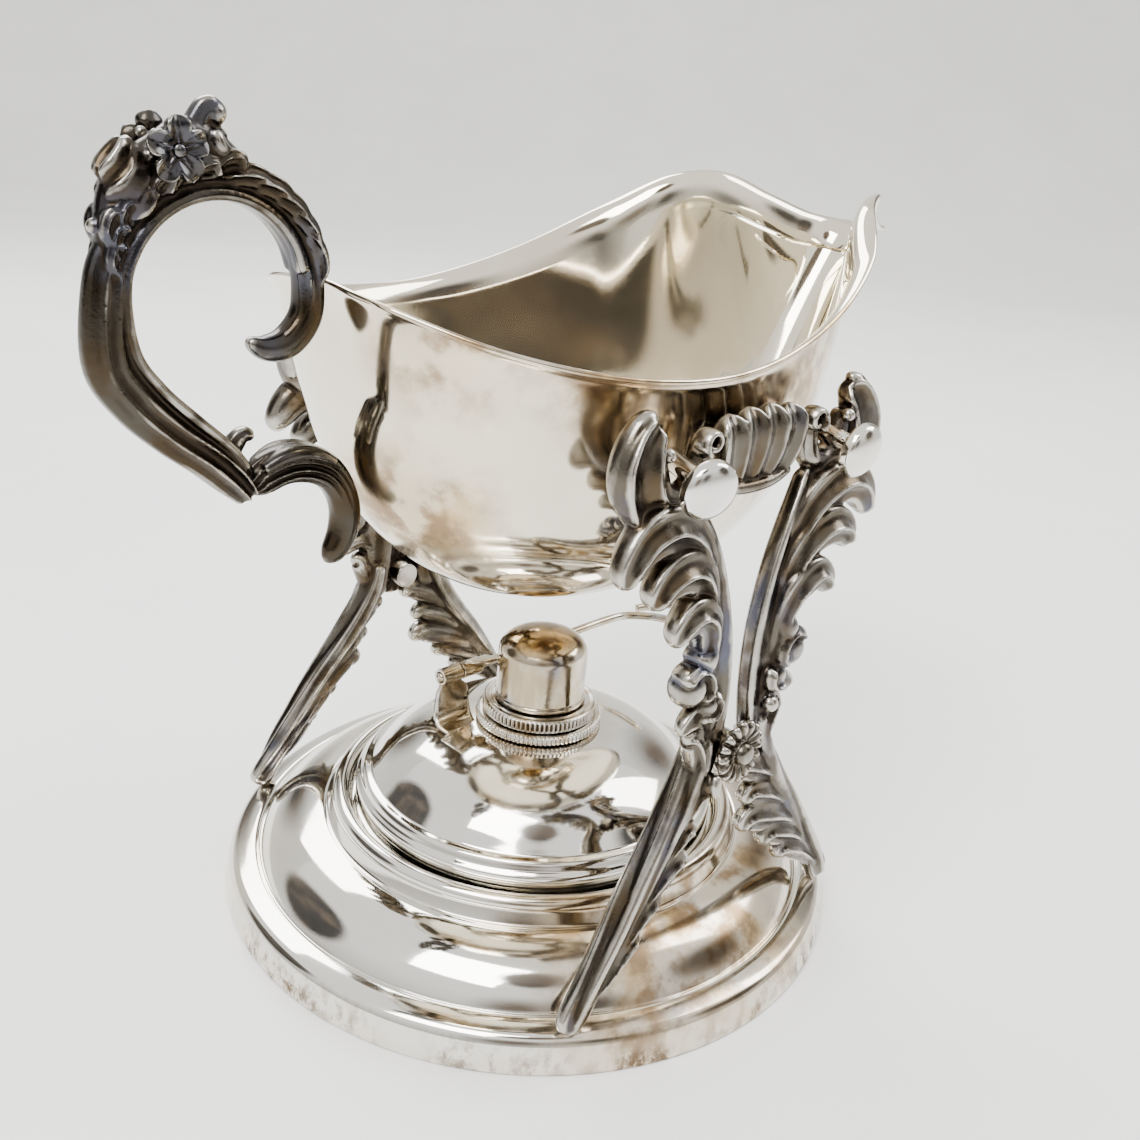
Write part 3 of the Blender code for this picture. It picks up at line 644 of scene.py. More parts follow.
def bowl_mesh():
    """The raised sheet, with a rounded bottom, an out-turned rim and an open spout."""
    levels = 52
    steps = 12
    heights = WALL_PART * np.sin(np.pi / 2 * np.arange(1, levels + 1) / levels) ** LEVEL_POWER
    half = SHEET / 2
    sections = []
    for edge in rim_line(steps):
        middle, turn = bowl_middle(edge, heights)
        along = np.gradient(middle, axis=0)
        along /= np.linalg.norm(along, axis=1)[:, None]
        away = np.stack([along[:, 1], -along[:, 0]], axis=1)
        cap = [middle[-1] + half * (away[-1] * math.cos(a) + along[-1] * math.sin(a))
               for a in np.radians(np.linspace(30, 150, 5))]
        flat = np.vstack([middle + away * half, cap, (middle - away * half)[::-1]])
        x = BOWL_CENTRE_X + flat[:, 0] * math.cos(turn)
        sections.append(np.stack([x, flat[:, 0] * math.sin(turn), flat[:, 1]], axis=1))
    count = len(sections[0])
    points = np.concatenate(sections + [[(BOWL_CENTRE_X, 0, BOWL_BOTTOM), (BOWL_CENTRE_X, 0, BOWL_BOTTOM + SHEET)]])
    faces = []
    for k in range(len(sections)):
        j = (k + 1) % len(sections)
        for i in range(count - 1):
            faces.append([k * count + i, j * count + i, j * count + i + 1, k * count + i + 1])
        faces.append([k * count, j * count, len(points) - 2])
        faces.append([k * count + count - 1, j * count + count - 1, len(points) - 1])
    return build_mesh("bowl_raised", points, faces)


# -------- the stand

WELL_FLOOR = 20.0
FRAME_TILT = 5.0 / 122.0
FRAME_FOOT = (60.0, 8.0)
WAIST_HEIGHT = 62.0
BRIDGE_OUT = 54.6
STUD_HEAD = (24.6, 64.0, 126.5)
STUDS = {"front": {"toe": 1.0, "droop": 10.0, "inner": 50.0}, "rear": {"toe": 13.0, "droop": 11.5, "inner": 50.6}}
CRADLE_Y = 55.0


def frame_y(height):
    """Distance of a side frame's middle plane from the centre plane, which leans in as it rises."""
    return FRAME_FOOT[0] - FRAME_TILT * (height - FRAME_FOOT[1])


def base_mesh():
    """The spun foot, with its rolled rim, groove, cove, bead and flat well."""
    outer = [(BASE_RADIUS, 0.0), (BASE_RADIUS, 1.6), (76.7, 6.6), (76.0, 8.0), (75.0, 8.8), (72.4, 9.5),
             (70.4, 9.7), (69.4, 9.1)] + arc((53.4, 0.6), 18.2, 30.0, 90.0, 40) + [(52.6, 18.5), (52.0, 19.7)]
    outer += arc((49.1, 22.2), 2.15, -15.0, 190.0, 20) + [(46.9, WELL_FLOOR), (0.0, WELL_FLOOR)]
    inner = [(0.0, 18.8), (51.0, 17.6)] + arc((53.4, 0.6), 17.0, 90.0, 36.0, 24)
    inner += [(68.6, 8.2), (74.4, 7.2), (75.3, 6.2), (76.2, 1.2), (73.5, 1.2), (73.5, 0.0)]
    return build_mesh("base_spun", *revolve(fillet(outer + inner, 0.7, 3)))


def leg_leaves(front, notch_x):
    """One leg as overlapping leaves, drawn outward from the stand's middle in its own upright plane."""
    return cradle_leaves(notch_x) + stem_leaves() + volute_leaves(front) + foot_leaves(front)


def cradle_leaves(notch_x):
    """The open cradle: a hollow leaf that curls round the stud, and the recessed lip that it rests in."""
    lip = [(-5.8, -0.6, 133.4, 1.6, 2.2), (-5.9, -0.8, 128.6, 2.2, 2.6), (-4.2, -1.0, 123.6, 2.5, 2.8),
           (0.0, -1.0, 121.8, 2.6, 2.8), (4.4, -1.0, 123.6, 2.6, 2.8), (6.2, -1.0, 128.6, 2.4, 2.6),
           (7.0, -1.0, 132.6, 1.8, 2.2)]
    curl = [(-5.4, 0.0, 121.6, 2.0, 2.6), (-0.6, 0.3, 118.6, 3.0, 3.4), (6.0, 0.5, 118.8, 4.0, 4.2),
            (11.0, 0.6, 123.0, 4.7, 4.8), (12.2, 0.5, 129.2, 4.7, 4.8), (10.2, 0.2, 134.4, 3.8, 4.2),
            (7.2, 0.0, 137.4, 2.6, 3.2)]
    back = [(13.2, -1.4, 122.0, 2.4, 2.4), (15.2, -1.2, 127.6, 2.2, 2.6), (14.4, -1.0, 133.0, 2.0, 2.6),
            (11.2, -0.8, 137.6, 1.7, 2.2), (7.6, -0.6, 139.4, 1.2, 1.8)]
    return [strand(along_by(lip, notch_x), tips=(0.9, 0.9)),
            strand(along_by(curl, notch_x), cup=0.8, sides=40, tips=(1.0, 0.8)),
            strand(along_by(back, notch_x)),
            ball((notch_x + 5.6, 1.6, 131.6), (1.5, 1.5, 1.5)),
            scroll((notch_x - 6.6, 132.2), 2.7, 0.9, -60.0, 420.0, 2.6, 1.2, 0.8)]


# The leaves that peel off the stem's outer edge, from the top down, with their flutes' depth and their blunt tips.
PEELING_LEAVES = [
    ([(13.0, 0.8, 99, 2.2, 2.4), (15.6, 1.2, 108.4, 4.0, 3.8), (20.8, 1.7, 114.6, 4.9, 4.6),
      (27.6, 2.2, 117.6, 5.1, 4.8), (34.2, 2.6, 116.2, 4.5, 4.4), (38.4, 2.8, 111.4, 3.4, 3.4),
      (39.0, 2.8, 108.0, 2.0, 2.2)], 0.42, 1.2),
    ([(12.0, 1.2, 91, 2.0, 2.4), (13.8, 1.8, 99.8, 3.5, 3.6), (18.2, 2.6, 106.4, 4.6, 4.6),
      (24.0, 3.3, 108.8, 4.7, 4.7), (29.4, 3.7, 107.0, 3.9, 4.0), (32.4, 3.8, 102.8, 2.5, 2.8)], 0.42, 1.3),
    ([(11.4, 1.4, 80, 2.0, 2.4), (12.4, 2.2, 89.4, 3.3, 3.4), (15.4, 3.2, 96.6, 4.2, 4.4),
      (19.8, 4.0, 99.0, 4.0, 4.3), (23.6, 4.3, 97.0, 3.2, 3.4), (25.4, 4.2, 93.4, 2.1, 2.4)], 0.35, 1.3),
]


def stem_leaves():
    """The broad hollow stem, and the leaves that curl over beside it."""
    stem = [(9.6, 0.5, 56, 3.2, 2.6), (8.4, 0.9, 66, 4.2, 3.2), (8.2, 1.0, 75, 4.8, 3.6), (8.6, 1.0, 85, 4.9, 3.6),
            (10.0, 1.0, 94, 4.7, 3.6), (12.4, 1.0, 103, 4.4, 3.5), (15.4, 0.9, 111, 3.9, 3.3),
            (18.4, 0.4, 117, 3.4, 3.0), (20.0, 0.0, 121.5, 2.8, 2.6)]
    parts = [strand(stem, cup=0.55)]
    for keys, groove, tip in PEELING_LEAVES:
        parts.append(strand(keys, flutes=2, groove=groove, sides=44, tips=(1.0, tip)))
    return parts


def volute_leaves(front):
    """The balls of two rolled leaves half way up, with their edges, and the bud at the waist."""
    parts = [ball((16.6, 1.6, 81.4), (4.5, 4.0, 4.3)), ball((11.6, 2.2, 76.4), (3.4, 3.2, 3.0))]
    parts.append(strand([(11.0, 0.8, 92.0, 1.8, 2.4), (12.8, 1.8, 88.4, 3.0, 3.6), (15.4, 2.2, 85.4, 3.2, 3.8)]))
    for centre, radius, turns in (((16.2, 81.6), 4.0, (20, 65, 110, 155, 200, 245)),
                                  ((11.6, 76.4), 2.7, (120, 165, 210, 255, 300, 330))):
        edge = [arc(centre, radius, turn, turn, 1)[0] for turn in turns]
        parts.append(strand([(x, 2.6, z, 1.5, 3.4) for x, z in edge], flutes=2, groove=0.25, tips=(1.2, 1.2)))
    parts.append(strand([(9.0, 1.0, 68.0, 2.0, 2.6), (10.6, 1.6, 72.6, 2.8, 3.2), (13.4, 2.0, 74.4, 2.8, 3.0),
                         (17.0, 2.2, 73.0, 2.0, 2.2), (18.4, 2.2, 70.6, 1.2, 1.4)], cup=0.6))
    parts.append(strand([(10.6, 0.8, 59.0, 2.2, 2.8), (12.0, 1.4, 65.2, 2.8, 3.2), (14.4, 1.8, 68.8, 2.2, 2.4),
                         (16.2, 1.8, 68.2, 1.2, 1.4)], flutes=2, groove=0.4))
    if front:
        return parts + [ball((9.4, 4.2, 70.6), (2.0, 1.9, 2.0))]
    rib = strand([(8.4, 4.6, 59.6, 1.0, 1.4), (8.8, 5.6, 56.8, 1.3, 1.0), (8.6, 4.6, 54.0, 0.9, 1.0)])
    return parts + [ball((8.4, 3.6, 56.8), (2.5, 2.2, 2.6)), rib]


# The leaves on the lower stem's inner edge, from the foot up: root, rise, turn and tip as (along, up), and size.
SPRINGS = [
    ((41.0, 14.6), (34.6, 20.4), (28.4, 24.6), (23.6, 26.4), 0.9),
    ((37.4, 20.0), (30.0, 27.2), (22.8, 31.6), (17.0, 33.2), 1.1),
    ((32.0, 28.0), (24.2, 34.8), (16.0, 38.8), (8.4, 40.6), 1.25),
    ((25.6, 37.0), (18.6, 42.8), (12.6, 46.2), (8.0, 47.4), 1.0),
    ((20.0, 45.0), (13.8, 51.0), (8.4, 54.2), (3.8, 55.6), 1.1),
]
# How much closer to the stem these leaves stay on a rear leg.
REAR_HUG = 0.45


def foot_leaves(front):
    """The lower stem, a twisted fluted ribbon with a spoon foot, and the leaves on its inner edge."""
    lower = [(45.2, 0.2, 9.3, 3.0, 2.2, 0), (43.6, 0.2, 12.2, 3.6, 2.8, 6), (38.6, 0.2, 19.4, 3.3, 3.2, 20),
             (32.2, 0.2, 28.6, 3.5, 3.4, 38), (26.0, 0.2, 37.6, 3.7, 3.5, 56), (19.4, 0.2, 46.4, 3.9, 3.6, 72),
             (14.0, 0.2, 54.6, 4.0, 3.6, 84), (10.6, 0.2, 61.6, 3.9, 3.4, 90), (8.8, 0.2, 68.0, 3.2, 2.8, 90)]
    rail = [(44.8, 1.6, 10.8, 1.0, 1.2), (39.6, 2.2, 20.0, 1.2, 1.5), (33.2, 2.4, 29.4, 1.3, 1.6),
            (26.8, 2.2, 38.8, 1.4, 1.6), (20.6, 1.8, 47.6, 1.4, 1.6), (15.8, 1.2, 55.6, 1.2, 1.6),
            (12.0, 0.2, 63.0, 0.8, 1.4), (10.6, -0.6, 68.0, 0.6, 1.2)]
    parts = [strand(lower, flutes=2, groove=0.30, both=True, sides=44, tips=(0.7, 0.7)), strand(rail)]
    hug = 0.0 if front else REAR_HUG
    for root, rise, turn, tip, size in SPRINGS:
        pull = hug * (np.array(rise) - np.array(tip)) * np.array([1.0, 0.4])
        turn = np.array(turn) + pull * 0.5 + np.array([0.0, hug])
        tip = np.array(tip) + pull
        path = [(root[0], 0.6, root[1], 1.6 * size, 2.0), (rise[0], 1.1, rise[1], 2.7 * size, 3.0),
                (turn[0], 1.7, turn[1], 3.2 * size, 3.2), (tip[0], 1.9, tip[1], 2.6 * size, 2.6),
                (tip[0] - 1.2, 1.8, tip[1] - 2.4 * size, 1.7 * size, 1.8)]
        parts.append(strand(path, flutes=2, groove=0.40, sides=40, tips=(1.0, 1.2)))
    return parts


def leg_mesh(name, end, side):
    """One leg's leaves, carried to their end and side of the stand and fused."""
    shape = STUDS[end]
    notch_x = STUD_HEAD[0] - (STUD_HEAD[1] - CRADLE_Y) * math.tan(math.radians(shape["toe"]))

    def place(x, out, z):
        return ENDS[end] * x, SIDES[side] * (frame_y(z) + out), z

    return fused(name, carried(leg_leaves(end == "front", notch_x), place))


def bridge_mesh(name, side):
    """The ribbed shell between two cradles: a fan of deep hollow scallops with thin raised edges."""
    parts = []
    for i in (-1.5, -0.5, 0.5, 1.5):
        drop = 0.5 * abs(i)
        path = [(5.0 * i, 0.0, 120.8 + drop, 2.0, 1.8), (5.4 * i, 0.6, 124.6, 3.3, 3.4),
                (6.0 * i, 1.2, 129.0, 3.8, 4.2), (6.3 * i, 1.2, 133.4, 3.8, 4.2),
                (6.3 * i, 0.0, 137.6 - 1.4 * drop, 2.8, 2.6)]
        parts.append(strand(path, cup=0.62, sides=40, tips=(1.2, 1.6)))
    parts.append(strand([(-12.4, 0.6, 122.6, 1.0, 1.3), (-6.0, 1.2, 121.2, 1.3, 1.6), (0.0, 1.3, 120.8, 1.4, 1.6),
                         (6.0, 1.2, 121.2, 1.3, 1.6), (12.4, 0.6, 122.6, 1.0, 1.3)]))

    def place(x, out, z):
        return x, SIDES[side] * (BRIDGE_OUT + out), z

    return fused(name, carried(parts, place), 0.8)


def waist_flower_mesh(name, side):
    """The pleated flower with its button, on the boss that ties a side frame's two legs."""
    place = (0.0, SIDES[side] * frame_y(WAIST_HEIGHT), WAIST_HEIGHT)
    turn = Matrix.Translation(place) @ Matrix.Rotation(-SIDES[side] * math.pi / 2, 4, "X")

    def pleat(radii, heights, turns):
        rise = np.clip((radii - 2.6) / 2.0, 0.0, 1.0) * (heights > 3.0)
        fold = np.abs(np.cos(turns * 8))
        return radii * (1 + 0.07 * rise * fold), heights + rise * (1.1 * fold - 0.5)

    profile = [(0.0, -2.5), (3.4, -2.5), (3.4, 2.8), (6.4, 3.1), (7.0, 3.8), (6.6, 4.7), (5.6, 5.1),
               (4.4, 4.9), (3.2, 4.7), (2.7, 5.0), (2.6, 5.8), (2.2, 6.6), (1.4, 7.1), (0.0, 7.2)]
    mesh = build_mesh(name, *revolve(fillet(profile, 0.4, 3), 192, pleat, turn))
    mark_hollows(mesh, 14, 0.5)
    return mesh


def stud_mesh(name, end, side):
    """A domed stud, polished, with a slim collar under its head."""
    shape = STUDS[end]
    toe = ENDS[end] * math.tan(math.radians(shape["toe"]))
    outward = Vector((toe, SIDES[side], -math.tan(math.radians(shape["droop"]))))
    length = (STUD_HEAD[1] - shape["inner"]) * outward.length
    head = Vector((ENDS[end] * STUD_HEAD[0], SIDES[side] * STUD_HEAD[1], STUD_HEAD[2]))
    profile = [(0.0, -length), (1.4, -length + 0.5), (2.2, -length + 2.0), (2.2, -2.8), (3.0, -1.5), (5.6, -1.4),
               (6.0, -0.9), (6.0, 0.2)]
    profile += [(6.0 * math.cos(a), 0.3 + 2.9 * math.sin(a)) for a in np.radians(np.linspace(8, 82, 12))]
    profile += [(0.0, 3.2)]
    place = Matrix.Translation(head) @ outward.normalized().to_track_quat("Z", "Y").to_matrix().to_4x4()
    return build_mesh(name, *revolve(fillet(profile, 0.5, 3), 64, None, place))


# -------- the burner

# The snuffer's turning axis, along X at this (y, z), its rod and its knuckles.
SWING = (13.5, 54.5)
ROD_RADIUS = 1.1
KNUCKLE_RADII = (2.1, 1.4)
CAP_TOP = 67.5
MILLED_TEETH = 88
KNURLED_TEETH = 76
POINTS_PER_TOOTH = 10
WICK_FOOT = 25.0
WICK_TURNS = 9
STRAP_HALF_SHEET = 0.45


def toothed_mesh(name, profile, count, depth, low, high):
    """A turned ring with straight teeth cut this deep between two heights."""

    def teeth(radii, heights, turns):
        cut = depth * (0.5 - 0.5 * np.cos(turns * count)) * ((heights > low) & (heights < high))
        return radii - cut, heights

    mesh = build_mesh(name, *revolve(fillet(profile, 0.2, 2), count * POINTS_PER_TOOTH, teeth))
    mark_hollows(mesh, 6, 0.12)
    return mesh


def font_mesh():
    """The reservoir's dome, with the stepped ring at its foot."""
    dome = flat_line([(10.5, 42.6), (16.0, 42.45), (20.0, 42.0), (25.0, 40.8), (30.0, 38.9), (34.5, 36.3),
                      (38.0, 33.4), (41.0, 30.0)], 6)
    outer = [tuple(p) for p in dome]
    outer += [(41.6, 29.3), (43.2, 29.1), (43.8, 28.4), (44.2, 27.2), (45.4, 26.4), (45.6, 25.2), (45.6, 20.3)]
    inner = [(44.5, 20.3), (44.5, 25.0), (43.2, 26.4), (40.0, 29.0), (37.0, 32.2), (33.6, 35.2), (29.2, 37.7),
             (24.6, 39.5), (19.6, 40.8), (10.5, 41.4)]
    return build_mesh("font_spun", *revolve(fillet(outer + inner, 0.45, 3)))


def flange_mesh():
    """The milled ring round the neck."""
    profile = [(10.5, 42.9), (15.0, 42.9), (15.9, 43.2), (16.1, 44.0), (15.9, 44.8), (15.0, 45.1), (10.5, 45.1)]
    return toothed_mesh("flange_milled", profile, MILLED_TEETH, 0.45, 43.1, 44.9)


def collar_mesh():
    """The collar that holds the wick tube: a stem in the neck under a knurled head."""
    profile = [(6.1, 38.0), (10.1, 38.0), (10.1, 45.4), (13.6, 45.4), (14.4, 45.9), (14.4, 46.6), (14.4, 47.6),
               (14.4, 48.1), (13.7, 48.7), (12.6, 48.5), (11.9, 48.7), (6.1, 48.7)]
    return toothed_mesh("collar_knurled", profile, KNURLED_TEETH, 0.6, 45.8, 48.2)


def tube_mesh():
    """The tube that guides the wick."""
    profile = fillet([(4.6, 36.0), (5.8, 36.0), (5.8, 56.0), (4.6, 56.0)], 0.3)
    return build_mesh("wick_tube_drawn", *revolve(profile, 64))


def wick_mesh():
    """The braided wick."""

    def braid(radii, heights, turns):
        weave = np.cos(turns * WICK_TURNS + heights * 4.2) * np.cos(turns * WICK_TURNS - heights * 4.2)
        return radii - 0.18 * (1 + weave) * np.minimum(radii, 1.0), heights

    side = [(4.3, WICK_FOOT + 0.5 * i) for i in range(65)]
    profile = [(0.0, WICK_FOOT)] + side + [(3.9, 57.6), (3.0, 58.1), (1.6, 58.3), (0.0, 58.4)]
    return build_mesh("wick_braided", *revolve(profile, 108, braid))


def cap_mesh():
    """The extinguisher: a thin round cap with a low domed top and a beaded foot."""
    crown = [(11.1 * math.cos(a), 61.5 + 6.0 * math.sin(a)) for a in np.radians(np.linspace(0, 86, 16))]
    inside = [(10.3 * math.cos(a), 61.5 + 5.2 * math.sin(a)) for a in np.radians(np.linspace(86, 0, 12))]
    profile = [(11.5, 49.3), (11.5, 50.2), (11.1, 50.6)] + crown + [(0.0, CAP_TOP), (0.0, CAP_TOP - 0.8)]
    profile += inside + [(10.3, 49.3)]
    return build_mesh("cap_spun", *revolve(fillet(profile, 0.25, 3), 160))


def knuckle(start_x, end_x):
    """A knuckle round the snuffer's rod."""
    outer, inner = KNUCKLE_RADII
    profile = fillet([(inner, start_x), (outer, start_x), (outer, end_x), (inner, end_x)], 0.25)
    place = Matrix.Translation((0.0, *SWING)) @ Matrix.Rotation(math.pi / 2, 4, "Y")
    return revolve(profile, 64, None, place)


def sheet_along(line, edges):
    """A thin strap, a little thicker in the middle. Its rows are (y, z, the x of one edge and of the other)."""
    tangent = np.gradient(line[:, :2], axis=0)
    tangent /= np.linalg.norm(tangent, axis=1)[:, None]
    normals = np.stack([-tangent[:, 1], tangent[:, 0]], axis=1) * STRAP_HALF_SHEET
    crown = 0.25 * np.sin(np.linspace(0, math.pi, edges))
    rings = []
    for (y, z, start, end), (rise_y, rise_z) in zip(line, normals):
        xs = np.linspace(start, end, edges)
        upper = [(x, y + rise_y * (1 + c), z + rise_z * (1 + c)) for x, c in zip(xs, crown)]
        lower = [(x, y - rise_y, z - rise_z) for x in xs[::-1]]
        rings.append(np.array(upper + lower))
    return loft(rings)


def strap_mesh():
    """The arched strap from its knuckle to the side of the cap."""
    line = flat_line([(13.2, 56.3, -15.2, -9.2), (12.0, 57.2, -14.6, -8.6), (10.6, 57.4, -13.4, -7.8),
                      (9.4, 57.4, -11.6, -7.0), (8.7, 56.9, -9.4, -6.6)], 6)
    return build_mesh("strap_arched", *merged([knuckle(-15.2, -9.2), sheet_along(line, 12)]))


def bracket_mesh():
    """The fixed knuckle and the web that carries it on the dome's shoulder."""
    line = flat_line([(13.2, 52.8, -21.6, -15.6), (13.3, 50.6, -22.4, -13.4), (13.1, 47.2, -23.0, -12.8),
                      (12.5, 44.4, -23.6, -12.8), (10.6, 42.7, -24.0, -13.4), (7.6, 41.8, -23.4, -14.2)], 7)
    return build_mesh("bracket_folded", *merged([knuckle(-21.6, -15.5), sheet_along(line, 12)]))


def rod_mesh():
    """The turning rod: straight through both knuckles, then bent round into a finger loop."""
    y, z = SWING
    bends = [(-21.9, y), (-5.0, y), (20.0, y), (40.0, y), (44.5, 12.4), (49.5, 8.2), (53.6, 2.2), (57.6, -0.6),
             (61.6, 1.0), (63.2, 5.6), (60.6, 10.2), (55.6, 12.8), (50.6, 14.4)]
    line = smooth_line([(bend_x, bend_y, z) for bend_x, bend_y in bends], 14)
    rings = []
    up = np.array([0.0, 0.0, 1.0])
    turns = np.linspace(0, 2 * math.pi, 24, endpoint=False)[:, None]
    for k, middle in enumerate(line):
        ahead = line[min(k + 1, len(line) - 1)] - line[max(k - 1, 0)]
        across = np.cross(up, ahead / np.linalg.norm(ahead))
        rings.append(middle + ROD_RADIUS * (across * np.cos(turns) + up * np.sin(turns)))
    return build_mesh("rod_bent", *loft(rings))


# -------- the handle

RING_CENTRE = (-86.9, 154.4)
RING_RADIUS = 18.9
FLOWER_X, FLOWER_OUT, FLOWER_Z = -94.9, 3.5, 178.6
PETALS = 5
# The outer edge's leaves, as (turn in degrees, size), and the crest's small ones, as (turn, lift, size).
EDGE_LEAVES = ((16, 0.8), (30, 0.9), (43, 1.0), (56, 1.1), (69, 1.1))
CREST_LEAVES = ((84, 3.2, 1.0), (96, 2.0, 1.0), (108, 1.8, 1.1), (119, 2.4, 1.0), (129, 2.0, 1.0), (139, 2.6, 1.0),
                (150, 1.6, 0.9), (146, 3.6, 0.8), (158, 0.8, 0.8))
CREST_BEADS = ((101, 8.6), (112, 9.4), (117, 7.0))
BUD_PETALS = [
    [(-105.8, -1.2, 170.6, 1.6, 1.4), (-103.4, -2.8, 172.0, 2.1, 1.5), (-100.8, -2.9, 175.0, 1.9, 1.4),
     (-100.6, -1.0, 179.0, 0.9, 1.2)],
    [(-103.8, -1.6, 168.8, 1.4, 1.4), (-101.0, -3.0, 169.8, 1.8, 1.5), (-98.9, -2.3, 172.8, 1.6, 1.4),
     (-99.0, -0.8, 175.8, 0.8, 1.0)],
    [(-106.0, -0.6, 174.0, 1.3, 1.2), (-104.6, -1.8, 175.8, 1.5, 1.3), (-102.8, -1.5, 178.4, 1.1, 1.2),
     (-101.8, -0.4, 180.2, 0.7, 0.9)],
]


def on_ring(turn, lift, out, width, depth, twist=0.0, relief=1.0):
    """A key on the ring at an angle in degrees, standing lift off its middle line."""
    x, z = arc(RING_CENTRE, RING_RADIUS + lift, turn, turn, 1)[0]
    return (x, out, z, width, depth, twist, relief)


def both_faces(keys, **shape):
    """The same leaf on the near and the far face of the handle."""
    far_points, far_faces = strand([(key[0], -key[1]) + tuple(key[2:]) for key in keys], **shape)
    return [(far_points, far_faces), (far_points * np.array([1.0, -1.0, 1.0]), far_faces)]


def handle_mesh():
    """The cast handle: a curled tail, a ringed loop with a leafy crest, and a fluted arm to its heel."""
    core = [(-81.0, 0, 146.0, 0.9, 1.1, 0, 0), (-77.2, 0, 144.3, 2.3, 2.5, 0, 0), (-72.8, 0, 144.9, 2.9, 3.0, 0, 0)]
    core += [on_ring(turn, 0.0, 0.0, 3.0, 3.1, 0, min(1.0, (turn + 16) / 40)) for turn in range(-16, 150, 16)]
    core += [on_ring(160, 0.5, 0, 3.5, 3.4, 0, 0.7), on_ring(176, 0.6, 0, 3.8, 3.6, 0, 0.5)]
    core += [(-106.4, 0, 143.9, 4.3, 3.9, 0, 0.4), (-102.4, 0, 137.6, 4.4, 4.1, 0, 0.5),
             (-96.4, 0, 131.6, 4.3, 4.2, 0, 0.7), (-89.6, 0, 126.2, 4.3, 4.4, 0, 1.0),
             (-84.6, 0, 121.4, 4.0, 4.2, 0, 1.2), (-80.8, 0, 116.6, 2.6, 3.2, 0, 1.2)]
    parts = [strand(core, flutes=3, groove=0.36, both=True, sides=56, tips=(1.2, 1.0))]
    rails = [on_ring(turn, -1.9, -1.7, 1.0, 1.5) for turn in range(10, 171, 20)]
    rails += [(-102.8, -2.0, 146.0, 1.1, 1.6), (-98.6, -2.2, 139.6, 1.1, 1.6), (-92.4, -2.4, 133.4, 1.1, 1.7),
              (-86.4, -2.4, 127.8, 1.0, 1.6), (-82.2, -2.0, 122.6, 0.9, 1.4)]
    parts += both_faces(rails)

    # The right of the ring: leaves that flow up its outer edge to the crest, on both faces.
    for turn, size in EDGE_LEAVES:
        keys = [on_ring(turn + 16, 1.2, -1.2, 1.5 * size, 2.2), on_ring(turn + 5, 2.2, -1.8, 1.9 * size, 2.8),
                on_ring(turn - 6, 2.2, -1.6, 1.6 * size, 2.6), on_ring(turn - 13, 1.0, -1.6, 1.1 * size, 1.8)]
        parts += both_faces(keys, flutes=2, groove=0.5)

    # The crest under the flowers, and the small leaves and beads that cover it.
    crest = [(72, 2.0, 0, 2.0, 2.6), (84, 4.0, 0, 2.8, 2.8), (97, 5.8, 0, 4.6, 3.2), (112, 5.0, 0, 4.4, 3.3),
             (130, 4.2, 0, 4.2, 3.3), (146, 2.6, 0, 2.8, 2.9), (158, 1.2, 0, 1.8, 2.4)]
    parts.append(strand([on_ring(*key) for key in crest], sides=40))
    for turn, lift, size in CREST_LEAVES:
        keys = [on_ring(turn + 9, lift - 1.6, -2.2, 0.8 * size, 1.2),
                on_ring(turn + 3, lift + 0.8, -2.8, 1.2 * size, 1.5),
                on_ring(turn - 4, lift + 1.2, -2.9, 1.2 * size, 1.5),
                on_ring(turn - 7, lift - 1.0, -2.8, 0.7 * size, 1.1)]
        parts += both_faces(keys, flutes=2, groove=0.5)
    for turn, lift in CREST_BEADS:
        x, _, z = on_ring(turn, lift, 0, 0, 0)[:3]
        parts += [ball((x, out, z), (1.1, 1.1, 1.1)) for out in (-2.4, 2.4)]

    # The bulb that leans over the top, with its bead.
    bulb = [(-90.8, 0, 176.0, 2.8, 2.8), (-90.0, 0, 179.8, 2.4, 2.5), (-88.8, 0, 183.0, 2.1, 2.3),
            (-86.8, 0, 184.9, 2.1, 2.3), (-84.8, 0, 183.8, 1.7, 1.9)]
    parts.append(strand(bulb, flutes=2, groove=0.2, both=True, tips=(0.0, 0.9)))
    parts += [ball((-86.2, 0, 184.2), (2.4, 2.5, 2.3)), ball((-85.6, -0.6, 180.6), (1.5, 1.9, 1.4)),
              ball((-107.4, 0, 166.6), (1.3, 1.6, 1.3))]
    parts += both_faces([(-84.2, -1.2, 177.4, 1.2, 1.6), (-86.4, -2.2, 179.0, 1.5, 1.8),
                         (-87.4, -2.2, 182.0, 1.0, 1.3)])

    # The closed bud: a pointed egg, wrapped in slanting petals.
    parts += [ball((-102.2, 0, 173.6), (3.9, 3.6, 4.0)), ball((-101.4, 0, 178.2), (1.6, 1.6, 2.2))]
    for petal in BUD_PETALS:
        parts += both_faces(petal, cup=0.3)

    # The small curl that stands up at the heel.
    parts.append(strand([(-88.0, 0, 122.6, 1.8, 3.0), (-85.0, 0, 126.0, 1.9, 2.8), (-82.0, 0, 128.8, 1.5, 2.0),
                         (-79.8, 0, 127.8, 1.1, 1.5)], flutes=2, groove=0.4, both=True))
    return fused("handle_cast", parts, 0.85)


